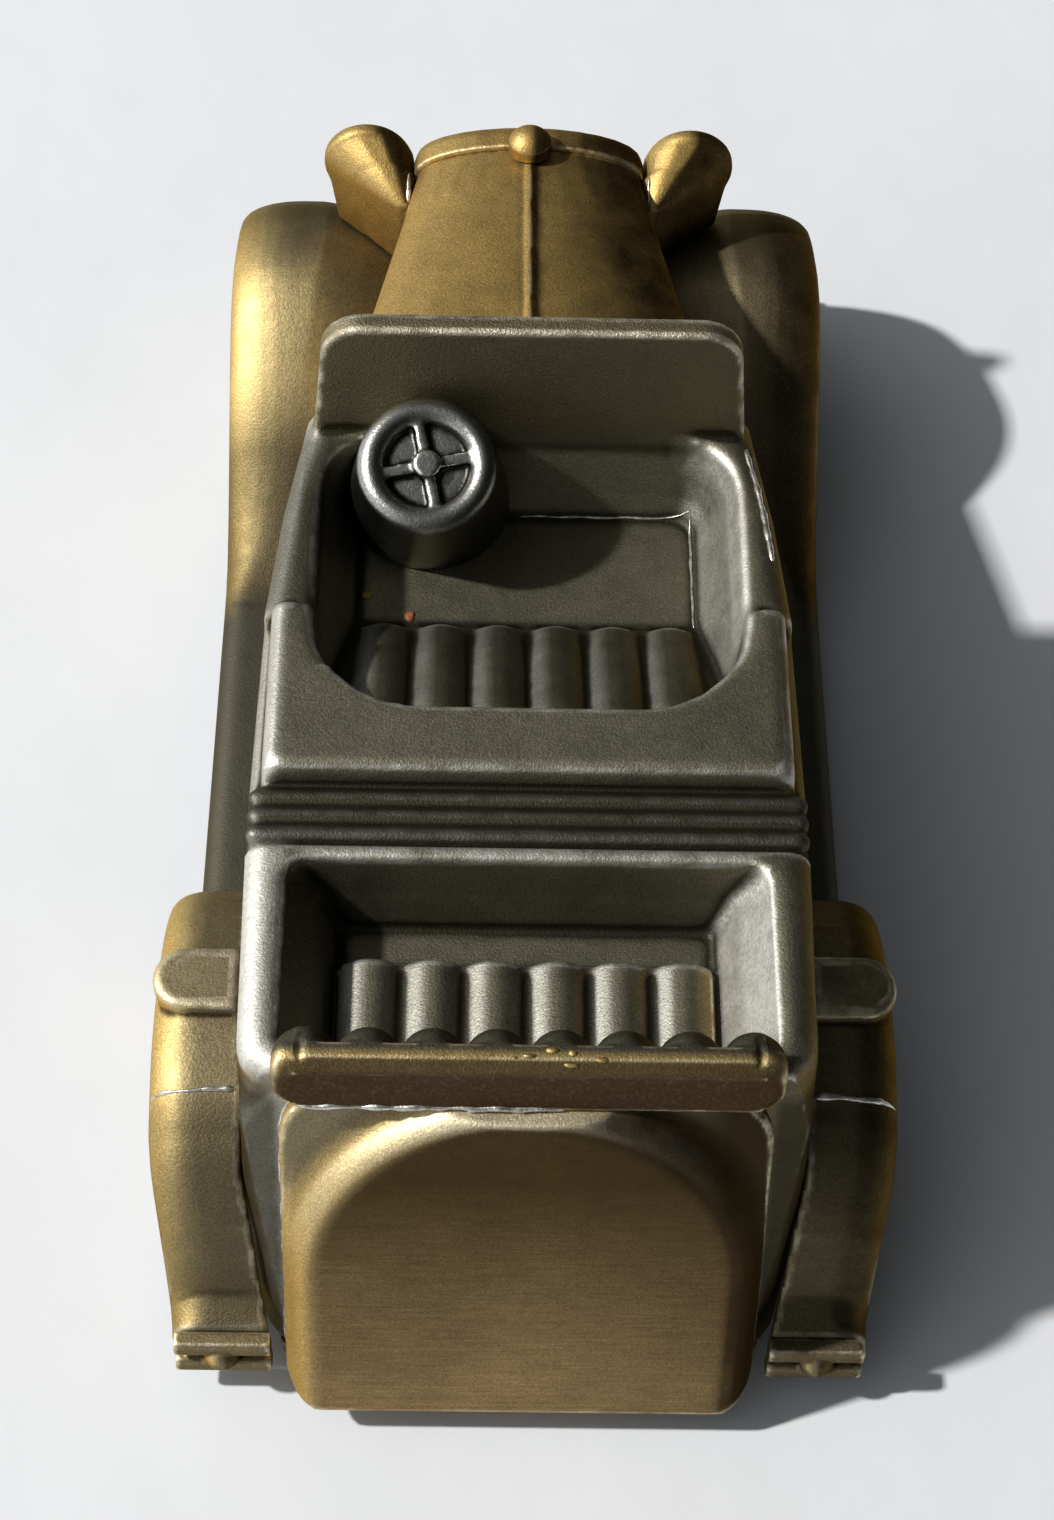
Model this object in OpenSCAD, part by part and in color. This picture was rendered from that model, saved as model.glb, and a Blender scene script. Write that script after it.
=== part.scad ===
// Cast-metal money box in the shape of an open touring car.
// Millimetres. +Y is the front of the car, +X its right-hand side, and z = 0 is the ground.
// The castings are hollow and stand on a flat base plate that closes the coin chamber.

/* [Body] */
// Half width of the body behind the doors
body_w = 28; // [26:0.5:30]
// Half width of the body at the windscreen
cowl_w = 24.8; // [23.5:0.1:26]
// Half width of the body at the foot of the tail panel
tail_w = 24.6; // [23:0.1:26]
// Height of the door tops and rear deck
belt_z = 43; // [41:0.5:46]
// Height of the raised block behind the front seat
block_z = 44.4; // [44:0.1:46]
// Underside of the castings, where the base plate seats
rim_z = 5.2; // [4.8:0.1:6]
// Wall thickness of the castings
wall = 2.2; // [1.6:0.1:3]
// Radius of the body's upper edges
edge_r = 2.4; // [1:0.1:3]
// Front face of the body, behind the bonnet
cowl_y = 19.2; // [18.8:0.1:20]
// Rear edge of the deck
deck_end_y = -63.8; // [-65:0.1:-63]
// Lean of the tail panel and the spare wheel cover
tail_lean = 15.5; // [12:0.5:18]
// Radius of the upright corners beside the tail panel
tail_r = 4.5; // [2:0.1:6]
// Ceiling of the coin chamber under the two seat wells
chamber_z = 30.4; // [28:0.1:30.8]

/* [Front cockpit] */
// Rear face of the windscreen, and front of the well
cockpit_front_y = 16.2; // [15:0.1:16.6]
// Rear edge of the well
cockpit_rear_y = -21.8; // [-23:0.1:-21]
// Half width of the well at its rim
cockpit_w = 22; // [21:0.1:22.6]
// Half width of the well at its floor
cockpit_floor_w = 18.3; // [18:0.1:20]
// Front edge of the floor
cockpit_floor_y = 13.1; // [12:0.1:15]
// Height of the floor
cockpit_floor_z = 33; // [32:0.1:34]
// Corner radius of the rim in plan
cockpit_corner_r = 11; // [6:0.5:13]

/* [Rumble seat] */
// Front edge of the well
rumble_front_y = -39.8; // [-40.5:0.1:-39]
// Width of the deck left behind the well
rumble_rim = 2.2; // [1.8:0.1:2.8]
// Half width of the well at its rim
rumble_w = 23.4; // [22:0.1:23.8]
// Half width of the well where its walls steepen
rumble_mid_w = 20.7; // [20:0.1:21.4]
// Half width of the well at its floor
rumble_floor_w = 18.6; // [18:0.1:20]
// Height of the floor
rumble_floor_z = 33; // [32:0.1:34]
// Thickness of the seat back, without its rolls
back_t = 5.2; // [4:0.1:5.6]
// Half width of the seat back
back_w = 23.6; // [22:0.1:24.5]
// Height of the seat back above the deck
back_h = 6.8; // [5:0.1:9]
// Number of rolls on the seat back
back_rolls = 8; // [6:1:10]

/* [Seats] */
// Number of rolls on each seat
seat_rolls = 6; // [4:1:8]
// Half width of each seat
seat_w = 18.3; // [16:0.1:18.5]
// Front edge of the front seat, at the floor
front_seat_y = -3; // [-5:0.1:0]
// Height of the front seat's front edge above the floor
front_seat_h = 1.2; // [0.6:0.1:2]
// Height of the rolls' tops at the rear of the front seat
front_seat_top_z = 42.6; // [40:0.1:43]
// Front edge of the rumble seat
rumble_seat_y = -46.6; // [-48:0.1:-45]
// Height of the rumble seat above its floor
rumble_seat_h = 3.2; // [2.6:0.1:4.4]

/* [Block behind the front seat] */
// Front edge of the block, at the rear of the doors
block_front_y = -8.7; // [-10:0.1:-7]
// Rear edge of the block
block_rear_y = -30.4; // [-31:0.1:-29]
// Set-in of the block from the body's sides
block_inset = 1.4; // [1:0.1:2]
// Radius of the three cross ribs
rib_r = 1.15; // [0.9:0.05:1.2]
// Spacing of the cross ribs
rib_pitch = 2.15; // [1.9:0.05:2.2]

/* [Bonnet and radiator] */
// Half width of the bonnet at the windscreen
bonnet_rear_w = 21.6; // [20:0.1:22.5]
// Half width of the bonnet at the radiator
bonnet_front_w = 13.1; // [12.6:0.1:14]
// Height of the bonnet's shoulders at the windscreen
bonnet_rear_z = 40; // [38:0.1:41]
// Height of the bonnet's shoulders at the radiator
bonnet_front_z = 38.4; // [37:0.1:39]
// Rise of the bonnet's crown above its shoulders
bonnet_rise = 4.4; // [3:0.1:5.6]
// Front end of the bonnet, where the radiator shell starts
bonnet_end_y = 61.5; // [60.5:0.1:62]
// Width of the hinge rib along the crown
hinge_rib_w = 1.2; // [0.8:0.1:2]
// Depth of the radiator shell
radiator_t = 4; // [3:0.1:5]
// Lip of the radiator shell around the bonnet
radiator_lip = 0.5; // [0.3:0.1:0.8]
// Width of the frame around the grille
grille_rim = 2; // [1.4:0.1:3]
// Height of the sill under the grille
grille_sill = 6; // [4:0.5:10]
// Depth of the grille's recess
grille_depth = 1.4; // [1:0.1:2]
// Number of bars in the grille
grille_bars = 9; // [5:2:11]
// Radius of one bar
grille_bar_r = 0.65; // [0.5:0.05:0.8]
// Radius of the radiator cap
cap_r = 2.5; // [2:0.1:2.8]
// Height of the cap's straight side
cap_h = 1.5; // [0.8:0.1:2]
// Number of louvres on each side
louvres = 9; // [5:1:11]

/* [Windscreen] */
// Thickness of the plate
screen_t = 2.8; // [2:0.1:2.9]
// Height of the plate above the door tops
screen_h = 15.5; // [12:0.1:18]
// Half width at the foot
screen_w = 23.5; // [21:0.1:24]
// Half width at the top
screen_top_w = 22.4; // [21:0.1:23.4]
// Radius of the top corners
screen_corner_r = 4.6; // [3:0.1:6]

/* [Steering wheel] */
// Sideways place of the wheel, left of the middle
steer_x = 10.9; // [9:0.1:12]
// Radius of the rim's centreline
steer_r = 6; // [5:0.1:6.4]
// Radius of the rim's section
steer_rim_r = 1.5; // [1.2:0.05:1.8]
// Height of the rim's centre
steer_z = 46.2; // [45:0.1:48]
// Place of the rim's centre along the car
steer_y = 8.4; // [7:0.1:8.8]
// Angle of the column above the horizontal
steer_tilt = 64; // [50:1:70]

/* [Lamps] */
// Radius of the lamp's rim
lamp_r = 5.2; // [4.8:0.1:5.5]
// Length of the lamp
lamp_l = 9.6; // [8.5:0.1:12]
// Sideways place of the lamp's axis
lamp_x = 19.2; // [18.8:0.1:20]
// Height of the lamp's axis
lamp_z = 37; // [36.4:0.1:38.5]
// Front face of the lamp's rim
lamp_y = 66.6; // [65.5:0.1:68]
// Depth of the lamp's rim
lamp_rim = 2.2; // [1.6:0.1:3]

/* [Fenders] */
// Height of the running boards
board_z = 9.5; // [9:0.1:11]
// Half width over the running boards
board_w = 35.3; // [34.5:0.1:36]
// Half width over the rear fenders
fender_w = 37; // [36:0.1:38]
// Height of the fender crowns
crown_z = 30.4; // [30:0.1:32]
// Radius of the fenders' outer shoulders
shoulder_r = 4; // [2.5:0.1:4.2]
// How many times wider than high the shoulders of the fenders' tall parts are
shoulder_wide = 1.9; // [1:0.05:2]
// Height of the fenders' lower edges
skirt_z = 6.2; // [5.8:0.1:7]
// Height of the front fenders' leading edges
front_skirt_z = 9.8; // [9.7:0.1:10.4]
// Wall thickness of the fenders
fender_t = 1.9; // [1.5:0.1:2.2]
// Gap between fender and body, filled by the joint
seam = 0.15; // [0.1:0.05:0.25]
// Front end of the front fender
fender_front_y = 78.2; // [77:0.1:78.4]
// Crown of the front fender
front_crown_y = 55; // [53:0.5:57]
// Front end of the running board
board_front_y = 20; // [18:0.5:22]
// Front end of the rear fender
rear_fender_y = -25.5; // [-27:0.1:-25]
// Crown of the rear fender
rear_crown_y = -47.5; // [-49:0.1:-46]
// Set-in of the rear fender's end from the foot of the tail panel
fender_rear_in = 0.4; // [0.2:0.1:0.9]
// Length of the step pad on the rear fender
pad_l = 7.2; // [6:0.1:9]

/* [Wheels] */
// Radius of the wheels
wheel_r = 12.5; // [11.8:0.1:12.8]
// Width of the wheels
wheel_t = 5.4; // [4.5:0.1:5.6]
// Front axle's place along the car
front_axle_y = 55.5; // [54.5:0.1:56.5]
// Rear axle's place along the car
rear_axle_y = -49.5; // [-50.5:0.1:-48.5]
// Radius of the axles
axle_r = 1.5; // [1.2:0.05:1.8]
// Running clearance of the axles in the castings, on the radius
axle_gap = 0.06; // [0.03:0.01:0.1]
// Number of spokes
spokes = 12; // [8:1:16]

/* [Spare wheel cover] */
// Half width of the cover, and radius of its top
cover_r = 22.9; // [21:0.1:24]
// Thickness of the cover
cover_t = 5.3; // [4.8:0.1:6]
// Thickness of the plate behind its raised face
cover_plate_t = 2; // [1.6:0.1:2.6]
// Radius of the face's full shoulder
cover_shoulder_r = 3.4; // [2.6:0.1:3.8]
// Radius of the hollow between the shoulder and the plate
cover_hollow_r = 3; // [2:0.1:3.4]
// Height of the cover's lower edge
cover_z = 4.2; // [3.6:0.1:5]
// Highest point of the cover
cover_top_z = 43.6; // [42:0.1:43.8]

/* [Bumpers] */
// Height of the bumper bars' centre
bumper_z = 6.7; // [6.2:0.1:7.5]
// Spacing of the two bars
bar_pitch = 3.4; // [3:0.1:4]
// Height of one bar
bar_h = 2.3; // [1.8:0.1:2.6]
// Half width of the front bumper
front_bar_w = 31; // [28:0.5:33]
// Radius of the round studs
stud_r = 1.7; // [1.2:0.05:2]
// Thickness of the bars, front to back
bar_t = 1.8; // [1.2:0.1:2.2]
// Sideways place of the front bumper's studs
front_stud_x = 22; // [18:0.5:26]
// Half width of the block behind each front stud
stud_block_w = 2; // [1.8:0.1:3]

/* [Base plate] */
// Thickness of the plate
plate_t = 2; // [1.8:0.1:2.6]
// Set-in of the plate from the castings' outside
plate_inset = 0.8; // [0.5:0.1:1.5]
// Length of the coin slot
slot_l = 28.5; // [26:0.5:30]
// Width of the coin slot
slot_w = 3.4; // [3:0.1:3.8]
// Middle of the coin slot
slot_y = 33; // [32:0.5:35]
// Radius of the screws' shanks
screw_r = 1.2; // [1:0.05:1.5]
// Length of the screws' shanks
screw_l = 7.8; // [6:0.1:8.4]
// Radius of the countersunk heads
screw_head_r = 2.3; // [2:0.1:2.6]
// Height of the screw bosses
boss_h = 9; // [8:0.5:12]
// Radius of the screw bosses
boss_r = 3; // [2.6:0.1:3.2]

/* [Coin trap] */
// Radius of the opening in the base plate
trap_hole_r = 14.5; // [13.5:0.1:15]
// Middle of the opening along the car
trap_y = -15; // [-16:0.1:-14]
// Thickness of the trap door
trap_t = 1; // [0.8:0.1:1.2]
// Overlap of the door beyond the opening, in the plate's rebate
trap_lap = 1.6; // [1.2:0.1:2]
// Clearance around the door in its rebate
trap_gap = 0.2; // [0.15:0.05:0.3]
// Radius of the hinge knuckles
knuckle_r = 1.3; // [1.1:0.05:1.4]
// Radius of the hinge pin
pin_r = 0.7; // [0.5:0.05:0.8]
// Half length of the hinge pin
pin_l = 7.9; // [7:0.1:9]
// Half width of the door's knuckle
knuckle_w = 3.1; // [2.5:0.1:3.6]
// Radius of the lock's case
lock_r = 4.4; // [4:0.1:4.8]
// Radius of the lock's plug
plug_r = 2.8; // [2.4:0.1:3]
// Reach of the locking bar from the plug's axis
bar_reach = 9; // [8:0.1:9.4]

/* [Hidden] */
$fn = 48;

bronze = [0.50, 0.40, 0.24];
pewter = [0.40, 0.39, 0.33];
steel = [0.62, 0.62, 0.60];
eps = 0.01;           // overcut of a hole past its face
contact = 0.1;        // gap between castings that seat on each other's curved faces
slide_gap = 0.1;      // clearance beside a part that turns

deck_foot_y = deck_end_y - (belt_z - rim_z) * tan(tail_lean);
rumble_rear_y = deck_end_y + rumble_rim;
fender_rear_y = deck_foot_y + fender_rear_in;
door_y = 5.8;         // where the doors start to draw in towards the windscreen
tail_y = deck_end_y - (belt_z - cover_z) * tan(tail_lean) - (cover_t + contact) / cos(tail_lean);
nose_y = -tail_y;     // the front bumper reaches as far as the tail does
plate_z = rim_z - plate_t;
bonnet_y0 = cowl_y;
clear = 2 * fender_w; // past the car on every side, for blocks that cut
radiator_y = bonnet_end_y + radiator_t;
rib_y = block_rear_y - 1.3;

// ---- Curves -------------------------------------------------------------

function smooth(t) = let (c = min(1, max(0, t))) c * c * (3 - 2 * c);

function arc(cx, cy, r, a0, a1, n = 6) =
    [for (i = [0:n]) let (a = a0 + (a1 - a0) * i / n) [cx + r * cos(a), cy + r * sin(a)]];

function reversed(list) = [for (i = [len(list) - 1:-1:0]) list[i]];
function steps(a, b, n) = [for (i = [0:n]) a + (b - a) * i / n];

// Skin over a list of rings that run anticlockwise about the way they're stacked.
// With strips, the end faces join each point to its partner counted from the ring's other end.
module skin(rings, strips = false) {
    n = len(rings[0]);
    m = len(rings);
    points = [for (ring = rings) for (p = ring) p];
    sides = [for (i = [0:m - 2]) for (j = [0:n - 1]) let (k = (j + 1) % n)
        each [[i * n + j, (i + 1) * n + j, i * n + k], [i * n + k, (i + 1) * n + j, (i + 1) * n + k]]];
    cap = strips ? [for (j = [0:n / 2 - 2]) each [[j, j + 1, n - 1 - j], [j + 1, n - 2 - j, n - 1 - j]]]
        : [[for (j = [0:n - 1]) j]];
    far = [for (face = cap) [for (j = [len(face) - 1:-1:0]) (m - 1) * n + face[j]]];
    polyhedron(points, concat(cap, sides, far), convexity = 8);
}

// A closed section in the XZ plane, as a ring at y.
function ring_at(y, section) = [for (p = section) [p[0], y, p[1]]];

// Half width of the body, and of the bonnet in front of it.
function body_half(y) = lookup(y, [
    [deck_foot_y, tail_w], [deck_end_y, body_w - 0.6], [block_rear_y, body_w],
    [block_front_y, body_w - 0.4], [door_y, body_w - 1.8],
    [cockpit_front_y, cowl_w - 0.2], [cowl_y, cowl_w - 0.6]]);
function bonnet_half(y) = lookup(y, [[bonnet_y0, bonnet_rear_w], [bonnet_end_y, bonnet_front_w]]);
function bonnet_shoulder(y) = lookup(y, [[bonnet_y0, bonnet_rear_z], [bonnet_end_y, bonnet_front_z]]);

// Round-cornered plan of a seat well: straight front, round rear corners.
function well_plan(w, front, rear, rf, rr) = concat(
    arc(w - rf, front - rf, rf, 0, 90, 5), arc(-(w - rf), front - rf, rf, 90, 180, 5),
    arc(-(w - rr), rear + rr, rr, 180, 270, 5), arc(w - rr, rear + rr, rr, 270, 360, 5));
function lift(plan, z) = [for (p = plan) [p[0], p[1], z]];

module pin_x(r, x0, x1, y, z) translate([x0, y, z]) rotate([0, 90, 0]) cylinder(r = r, h = x1 - x0);
module both_sides() { children(); mirror([1, 0, 0]) children(); }
module box(x0, x1, y0, y1, z0, z1) translate([x0, y0, z0]) cube([x1 - x0, y1 - y0, z1 - z0]);

// Leaning frame of the tail: local +Y is up the panel, local +Z points out of its face.
module on_tail(out = 0) translate([0, deck_end_y, belt_z]) rotate([90 - tail_lean, 0, 0])
    translate([0, 0, out]) children();

// ---- Body ---------------------------------------------------------------

function body_top(y) =
    y < deck_end_y ? belt_z - (deck_end_y - y) / tan(tail_lean)
    : y < block_rear_y - 3 * rib_pitch - rib_r ? belt_z
    : y < block_front_y ? belt_z - 1.8
    : belt_z;
// How far the side at height z lies inside its straight line, by the distance to the leaning tail panel.
function tail_inset(y, z) = let (d = y - deck_end_y + (belt_z - z) * tan(tail_lean))
    d >= tail_r ? 0 : tail_r - sqrt(tail_r * tail_r - pow(tail_r - max(0, d), 2));
function body_side(y) = let (w = body_half(y), top = body_top(y), r = max(0.3, min(edge_r, (top - rim_z) / 3)),
        wt = w - tail_inset(y, top))
    concat([for (i = [0:4]) let (z = rim_z + (top - r - rim_z) * i / 5) [w - tail_inset(y, z), z]],
        arc(wt - r, top - r, r, 0, 90));
function body_section(y) = let (side = body_side(y)) concat(side, reversed([for (p = side) [-p[0], p[1]]]));
rib_end_y = block_rear_y - 3 * rib_pitch - rib_r;
body_stations = concat([cowl_y, cockpit_front_y, door_y], steps(door_y - 4, block_front_y, 2),
    [block_front_y - eps, block_rear_y, rib_end_y + eps, rib_end_y - eps],
    steps(deck_end_y + tail_r, deck_end_y, 5), steps(deck_end_y - 1, deck_foot_y + 0.3, 6));

module body_outer() skin([for (y = body_stations) ring_at(y, body_section(y))], strips = true);

block_half = body_w - block_inset;
block_r = 1.6;         // rounding of the block's sides
function block_section(top) = concat([[block_half, belt_z - 4]],
    arc(block_half - block_r, top - block_r, block_r, 0, 90, 4),
    arc(block_r - block_half, top - block_r, block_r, 90, 180, 4), [[-block_half, belt_z - 4]]);
module raised_block() skin([for (s = [[0, 0.4], [0.4, 0], [block_front_y - block_rear_y - 1.5, 0],
        [block_front_y - block_rear_y - 0.6, 0.35], [block_front_y - block_rear_y, 1.4]])
    ring_at(block_front_y + 0.3 - s[0], block_section(block_z - s[1]))]);

module cross_ribs() for (i = [0:2])
    translate([0, rib_y - i * rib_pitch, belt_z - 1.7]) {
        pin_x(rib_r, 1.2 - body_w, body_w - 1.2, 0, 0);
        both_sides() translate([body_w - 1.2, 0, 0]) sphere(r = rib_r, $fn = 24);
    }

module cockpit_well(gap = 0) skin([
    lift(well_plan(cockpit_floor_w - gap, cockpit_floor_y - gap, cockpit_rear_y + 2 + gap, 3, 4),
        cockpit_floor_z + gap),
    lift(well_plan(cockpit_floor_w + 1.6 - gap, cockpit_floor_y + 1.3 - gap, cockpit_rear_y + 1 + gap, 4, 7),
        cockpit_floor_z + 3),
    lift(well_plan(cockpit_w - gap, cockpit_front_y - gap, cockpit_rear_y + gap, 7, cockpit_corner_r),
        belt_z - 2),
    lift(well_plan(cockpit_w + 0.4 - gap, cockpit_front_y - gap, cockpit_rear_y - 0.2 + gap, 7,
        cockpit_corner_r), block_z + 6)]);

module rumble_well() skin([
    lift(well_plan(rumble_floor_w, rumble_front_y - 1.4, rumble_rear_y + 1, 1, 1), rumble_floor_z),
    lift(well_plan(rumble_mid_w, rumble_front_y - 0.4, rumble_rear_y + 0.6, 1.4, 1.4), belt_z - 4.8),
    lift(well_plan(rumble_w, rumble_front_y, rumble_rear_y, 2, 2), belt_z - 0.6),
    lift(well_plan(rumble_w + 0.5, rumble_front_y + 0.5, rumble_rear_y, 2.4, 2.4), belt_z + 0.3),
    lift(well_plan(rumble_w + 0.5, rumble_front_y + 0.5, rumble_rear_y, 2.4, 2.4), belt_z + 2)]);

// Fluted seats, cast in one with the wells.
seat_pitch = 2 * seat_w / seat_rolls;
seat_roll_r = seat_pitch * 0.62;
seat_roll_x = [for (i = [0:seat_rolls - 1]) seat_pitch * (i + 0.5) - seat_w];
front_seat_low = cockpit_floor_z + front_seat_h;
front_seat_run = front_seat_y - cockpit_rear_y;
front_seat_lean = atan((front_seat_top_z - front_seat_low) / front_seat_run);
module front_seat() {
    along_x(-seat_w - 6, seat_w + 6) polygon([
        [front_seat_y, cockpit_floor_z - 1], [front_seat_y, front_seat_low - 1],
        [cockpit_rear_y - 3, front_seat_top_z - 1.2], [cockpit_rear_y - 3, cockpit_floor_z - 1]]);
    intersection() {
        for (x = seat_roll_x) translate([x, front_seat_y, front_seat_low]) rotate([90 - front_seat_lean, 0, 0])
            translate([0, -seat_roll_r, 0]) cylinder(r = seat_roll_r, h = front_seat_run + 9);
        box(-seat_w, seat_w, cockpit_rear_y - 3, front_seat_y, cockpit_floor_z - 1, belt_z - 0.3);
    }
}
module rumble_seat() intersection() {
    union() {
        box(-seat_w, seat_w, rumble_rear_y - 2, rumble_seat_y,
            rumble_floor_z - 1, rumble_floor_z + rumble_seat_h - 1.2);
        for (x = seat_roll_x) translate([x, rumble_seat_y, rumble_floor_z + rumble_seat_h - seat_roll_r])
            rotate([90, 0, 0]) cylinder(r = seat_roll_r, h = 20);
    }
    box(-seat_w, seat_w, rumble_rear_y - 2, rumble_seat_y, rumble_floor_z - 1, rumble_floor_z + 9);
}
module along_x(x0, x1) translate([x0, 0, 0]) rotate([90, 0, 90]) linear_extrude(x1 - x0) children();

// Space for the coins: a plan set in from the sides, under a ceiling that steps up between the wells.
function chamber_side(sign) = [for (y = [deck_foot_y, deck_end_y, block_rear_y, block_front_y, door_y,
    cockpit_front_y]) [sign * (body_half(y) - wall), y]];
module chamber() intersection() {
    translate([0, 0, rim_z - 1]) linear_extrude(belt_z) polygon(concat(chamber_side(1),
        [[bonnet_rear_w - wall, cowl_y - 1], [bonnet_rear_w - wall, cowl_y + 1],
        [wall - bonnet_rear_w, cowl_y + 1], [wall - bonnet_rear_w, cowl_y - 1]],
        reversed(chamber_side(-1))));
    translate([-body_w, 0, 0]) rotate([90, 0, 90]) linear_extrude(2 * body_w) polygon([
        [cowl_y + 1, rim_z - 1], [cowl_y + 1, chamber_z], [cockpit_rear_y - wall, chamber_z],
        [cockpit_rear_y - wall, belt_z - wall - 3], [rumble_front_y + wall, belt_z - wall - 3],
        [rumble_front_y + wall, chamber_z], [tail_in(chamber_z), chamber_z], [tail_in(rim_z - 1), rim_z - 1]]);
}
function tail_in(z) = deck_end_y - (belt_z - z) * tan(tail_lean) + wall / cos(tail_lean);

boss_in = 1.5;         // how far a boss's axis lies inside the wall beside it
body_screw_y = door_y + 2.2;
bonnet_screw_y = front_axle_y - 7.5;
body_screws = [[body_half(body_screw_y) - wall - 2 * boss_in, body_screw_y],
    [tail_w - wall - 2 * boss_in, deck_foot_y + 2.4 * boss_r]];
bonnet_screws = [[bonnet_half(bonnet_screw_y) - wall - boss_in, bonnet_screw_y]];
boss_top = rim_z + boss_h;
module screw_boss(at) translate([at[0], at[1], rim_z]) cylinder(r = boss_r, h = boss_top - rim_z);
module screw_hole(at, r) translate([at[0], at[1], plate_z - 1]) cylinder(r = r, h = screw_l + 1.4);
module boss_web(at, reach) box(at[0], reach, at[1] - 1, at[1] + 1, rim_z, boss_top);

module rear_axle_bosses() both_sides() let (x = body_half(rear_axle_y) - wall)
    pin_x(axle_r + 2, x - 2, x + 0.4, rear_axle_y, wheel_r);

module body_shell() color(pewter) difference() {
    union() {
        difference() {
            union() { body_outer(); raised_block(); cross_ribs(); }
            chamber();
            difference() { cockpit_well(); front_seat(); }
            difference() { rumble_well(); rumble_seat(); }
        }
        both_sides() for (at = body_screws) { screw_boss(at); boss_web(at, body_half(at[1]) - wall + 0.4); }
        rear_axle_bosses();
    }
    both_sides() for (at = body_screws) screw_hole(at, screw_r + contact / 2);
    pin_x(axle_r + axle_gap, -body_w - 1, body_w + 1, rear_axle_y, wheel_r);
}

// ---- Bonnet and radiator ------------------------------------------------

function arch(w, shoulder, rise, n = 14) =
    [for (i = [0:n]) let (a = 180 * i / n) [w * cos(a), shoulder + rise * sin(a)]];
function bonnet_section(y) = let (w = bonnet_half(y), s = bonnet_shoulder(y), outer = arch(w, s, bonnet_rise),
        inner = arch(w - wall, s, bonnet_rise - wall))
    concat([[w, rim_z]], outer, [[-w, rim_z], [wall - w, rim_z]], reversed(inner), [[w - wall, rim_z]]);

hinge_run = bonnet_end_y - bonnet_y0;
hinge_drop = atan((bonnet_rear_z - bonnet_front_z) / hinge_run);
module hinge_rib() translate([0, bonnet_y0, bonnet_rear_z + bonnet_rise - 0.25])
    rotate([-90 - hinge_drop, 0, 0]) cylinder(r = hinge_rib_w / 2, h = hinge_run / cos(hinge_drop), $fn = 24);

side_angle = atan((bonnet_rear_w - bonnet_front_w) / hinge_run);
module bonnet_louvres() for (i = [0:louvres - 1]) let (y = bonnet_y0 + 8 + i * 3)
    translate([bonnet_half(y), y, 27]) rotate([0, 0, side_angle])
        translate([-0.4, -0.6, 0]) cube([0.9, 1.2, 8]);

module bonnet() color(bronze) difference() {
    union() {
        skin([for (y = [bonnet_end_y, bonnet_y0]) ring_at(y, bonnet_section(y))], strips = true);
        hinge_rib();
        both_sides() {
            bonnet_louvres();
            for (at = bonnet_screws) { screw_boss(at); boss_web(at, bonnet_half(at[1]) - wall + 0.4); }
        }
    }
    both_sides() for (at = bonnet_screws) screw_hole(at, screw_r + contact / 2);
    pin_x(axle_r + axle_gap, -body_w, body_w, front_axle_y, wheel_r);
    box(-5, 5, bonnet_y0 - 1, bonnet_y0, belt_z - 3, belt_z + 9);
    box(-5, 5, bonnet_end_y, bonnet_end_y + 1, belt_z - 9, belt_z + 9);
}

module facing(y0, y1) translate([0, y1, 0]) rotate([90, 0, 0]) linear_extrude(y1 - y0) children();
function radiator_outline(grow) = concat([[bonnet_front_w + grow, rim_z]],
    arch(bonnet_front_w + grow, bonnet_front_z, bonnet_rise + grow), [[-bonnet_front_w - grow, rim_z]]);

grille_w = bonnet_front_w - grille_rim;
module grille_recess() facing(radiator_y - grille_depth, radiator_y + 1)
    polygon(concat([[grille_w, rim_z + grille_sill]],
        arch(grille_w, bonnet_front_z - grille_rim, bonnet_rise - 0.6), [[-grille_w, rim_z + grille_sill]]));
module grille_bar(i) let (x = grille_w * 2 * (i + 0.5) / grille_bars - grille_w)
    translate([x, radiator_y - grille_depth + grille_bar_r / 2, rim_z + grille_sill - 1])
        cylinder(r = grille_bar_r, h = bonnet_front_z - rim_z - grille_sill + 1.6, $fn = 20);

radiator_round = 0.9;  // rounding of its front edge
module radiator_shell() color(bronze) {
    difference() {
        skin([for (s = [[0, 1], [0.4, 0.4], [1.6, 0], [radiator_t, 0]])
            ring_at(radiator_y - s[0], radiator_outline(radiator_lip - radiator_round * s[1]))]);
        grille_recess();
    }
    for (i = [0:grille_bars - 1]) grille_bar(i);
}

cap_z = bonnet_front_z + bonnet_rise + radiator_lip;
module radiator_cap() color(bronze) translate([0, bonnet_end_y - 0.6, cap_z]) {
    cylinder(r = cap_r, h = cap_h);
    translate([0, 0, cap_h]) intersection() {
        cylinder(r = cap_r, h = cap_r);
        translate([0, 0, -cap_r * 0.6]) sphere(r = cap_r * 1.15);
    }
}

// ---- Windscreen and steering wheel --------------------------------------

module windscreen() color(pewter) facing(cockpit_front_y, cockpit_front_y + screen_t)
    polygon(concat([[screen_w, belt_z]],
        arc(screen_top_w - screen_corner_r, belt_z + screen_h - screen_corner_r, screen_corner_r, 0, 90, 8),
        arc(screen_corner_r - screen_top_w, belt_z + screen_h - screen_corner_r, screen_corner_r, 90, 180, 8),
        [[-screen_w, belt_z]]));

module on_column() translate([-steer_x, steer_y, steer_z]) rotate([90 - steer_tilt, 0, 0]) children();
boss_l = 26;           // reach of the boss below the rim, past the floor
module steering_wheel() color(pewter) {
    intersection() {
        on_column() translate([0, 0, -boss_l])
            cylinder(r1 = steer_r + 3 * steer_rim_r, r2 = steer_r + steer_rim_r, h = boss_l);
        cockpit_well(contact);
    }
    on_column() {
        rotate_extrude() translate([steer_r, 0]) circle(r = steer_rim_r);
        for (a = [0:90:270]) rotate([0, 0, a + 12]) translate([steer_r / 2, 0, 0.4])
            cube([steer_r, 1.2, 1.2], center = true);
        cylinder(r = 1.5, h = 1.6);
    }
}

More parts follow.
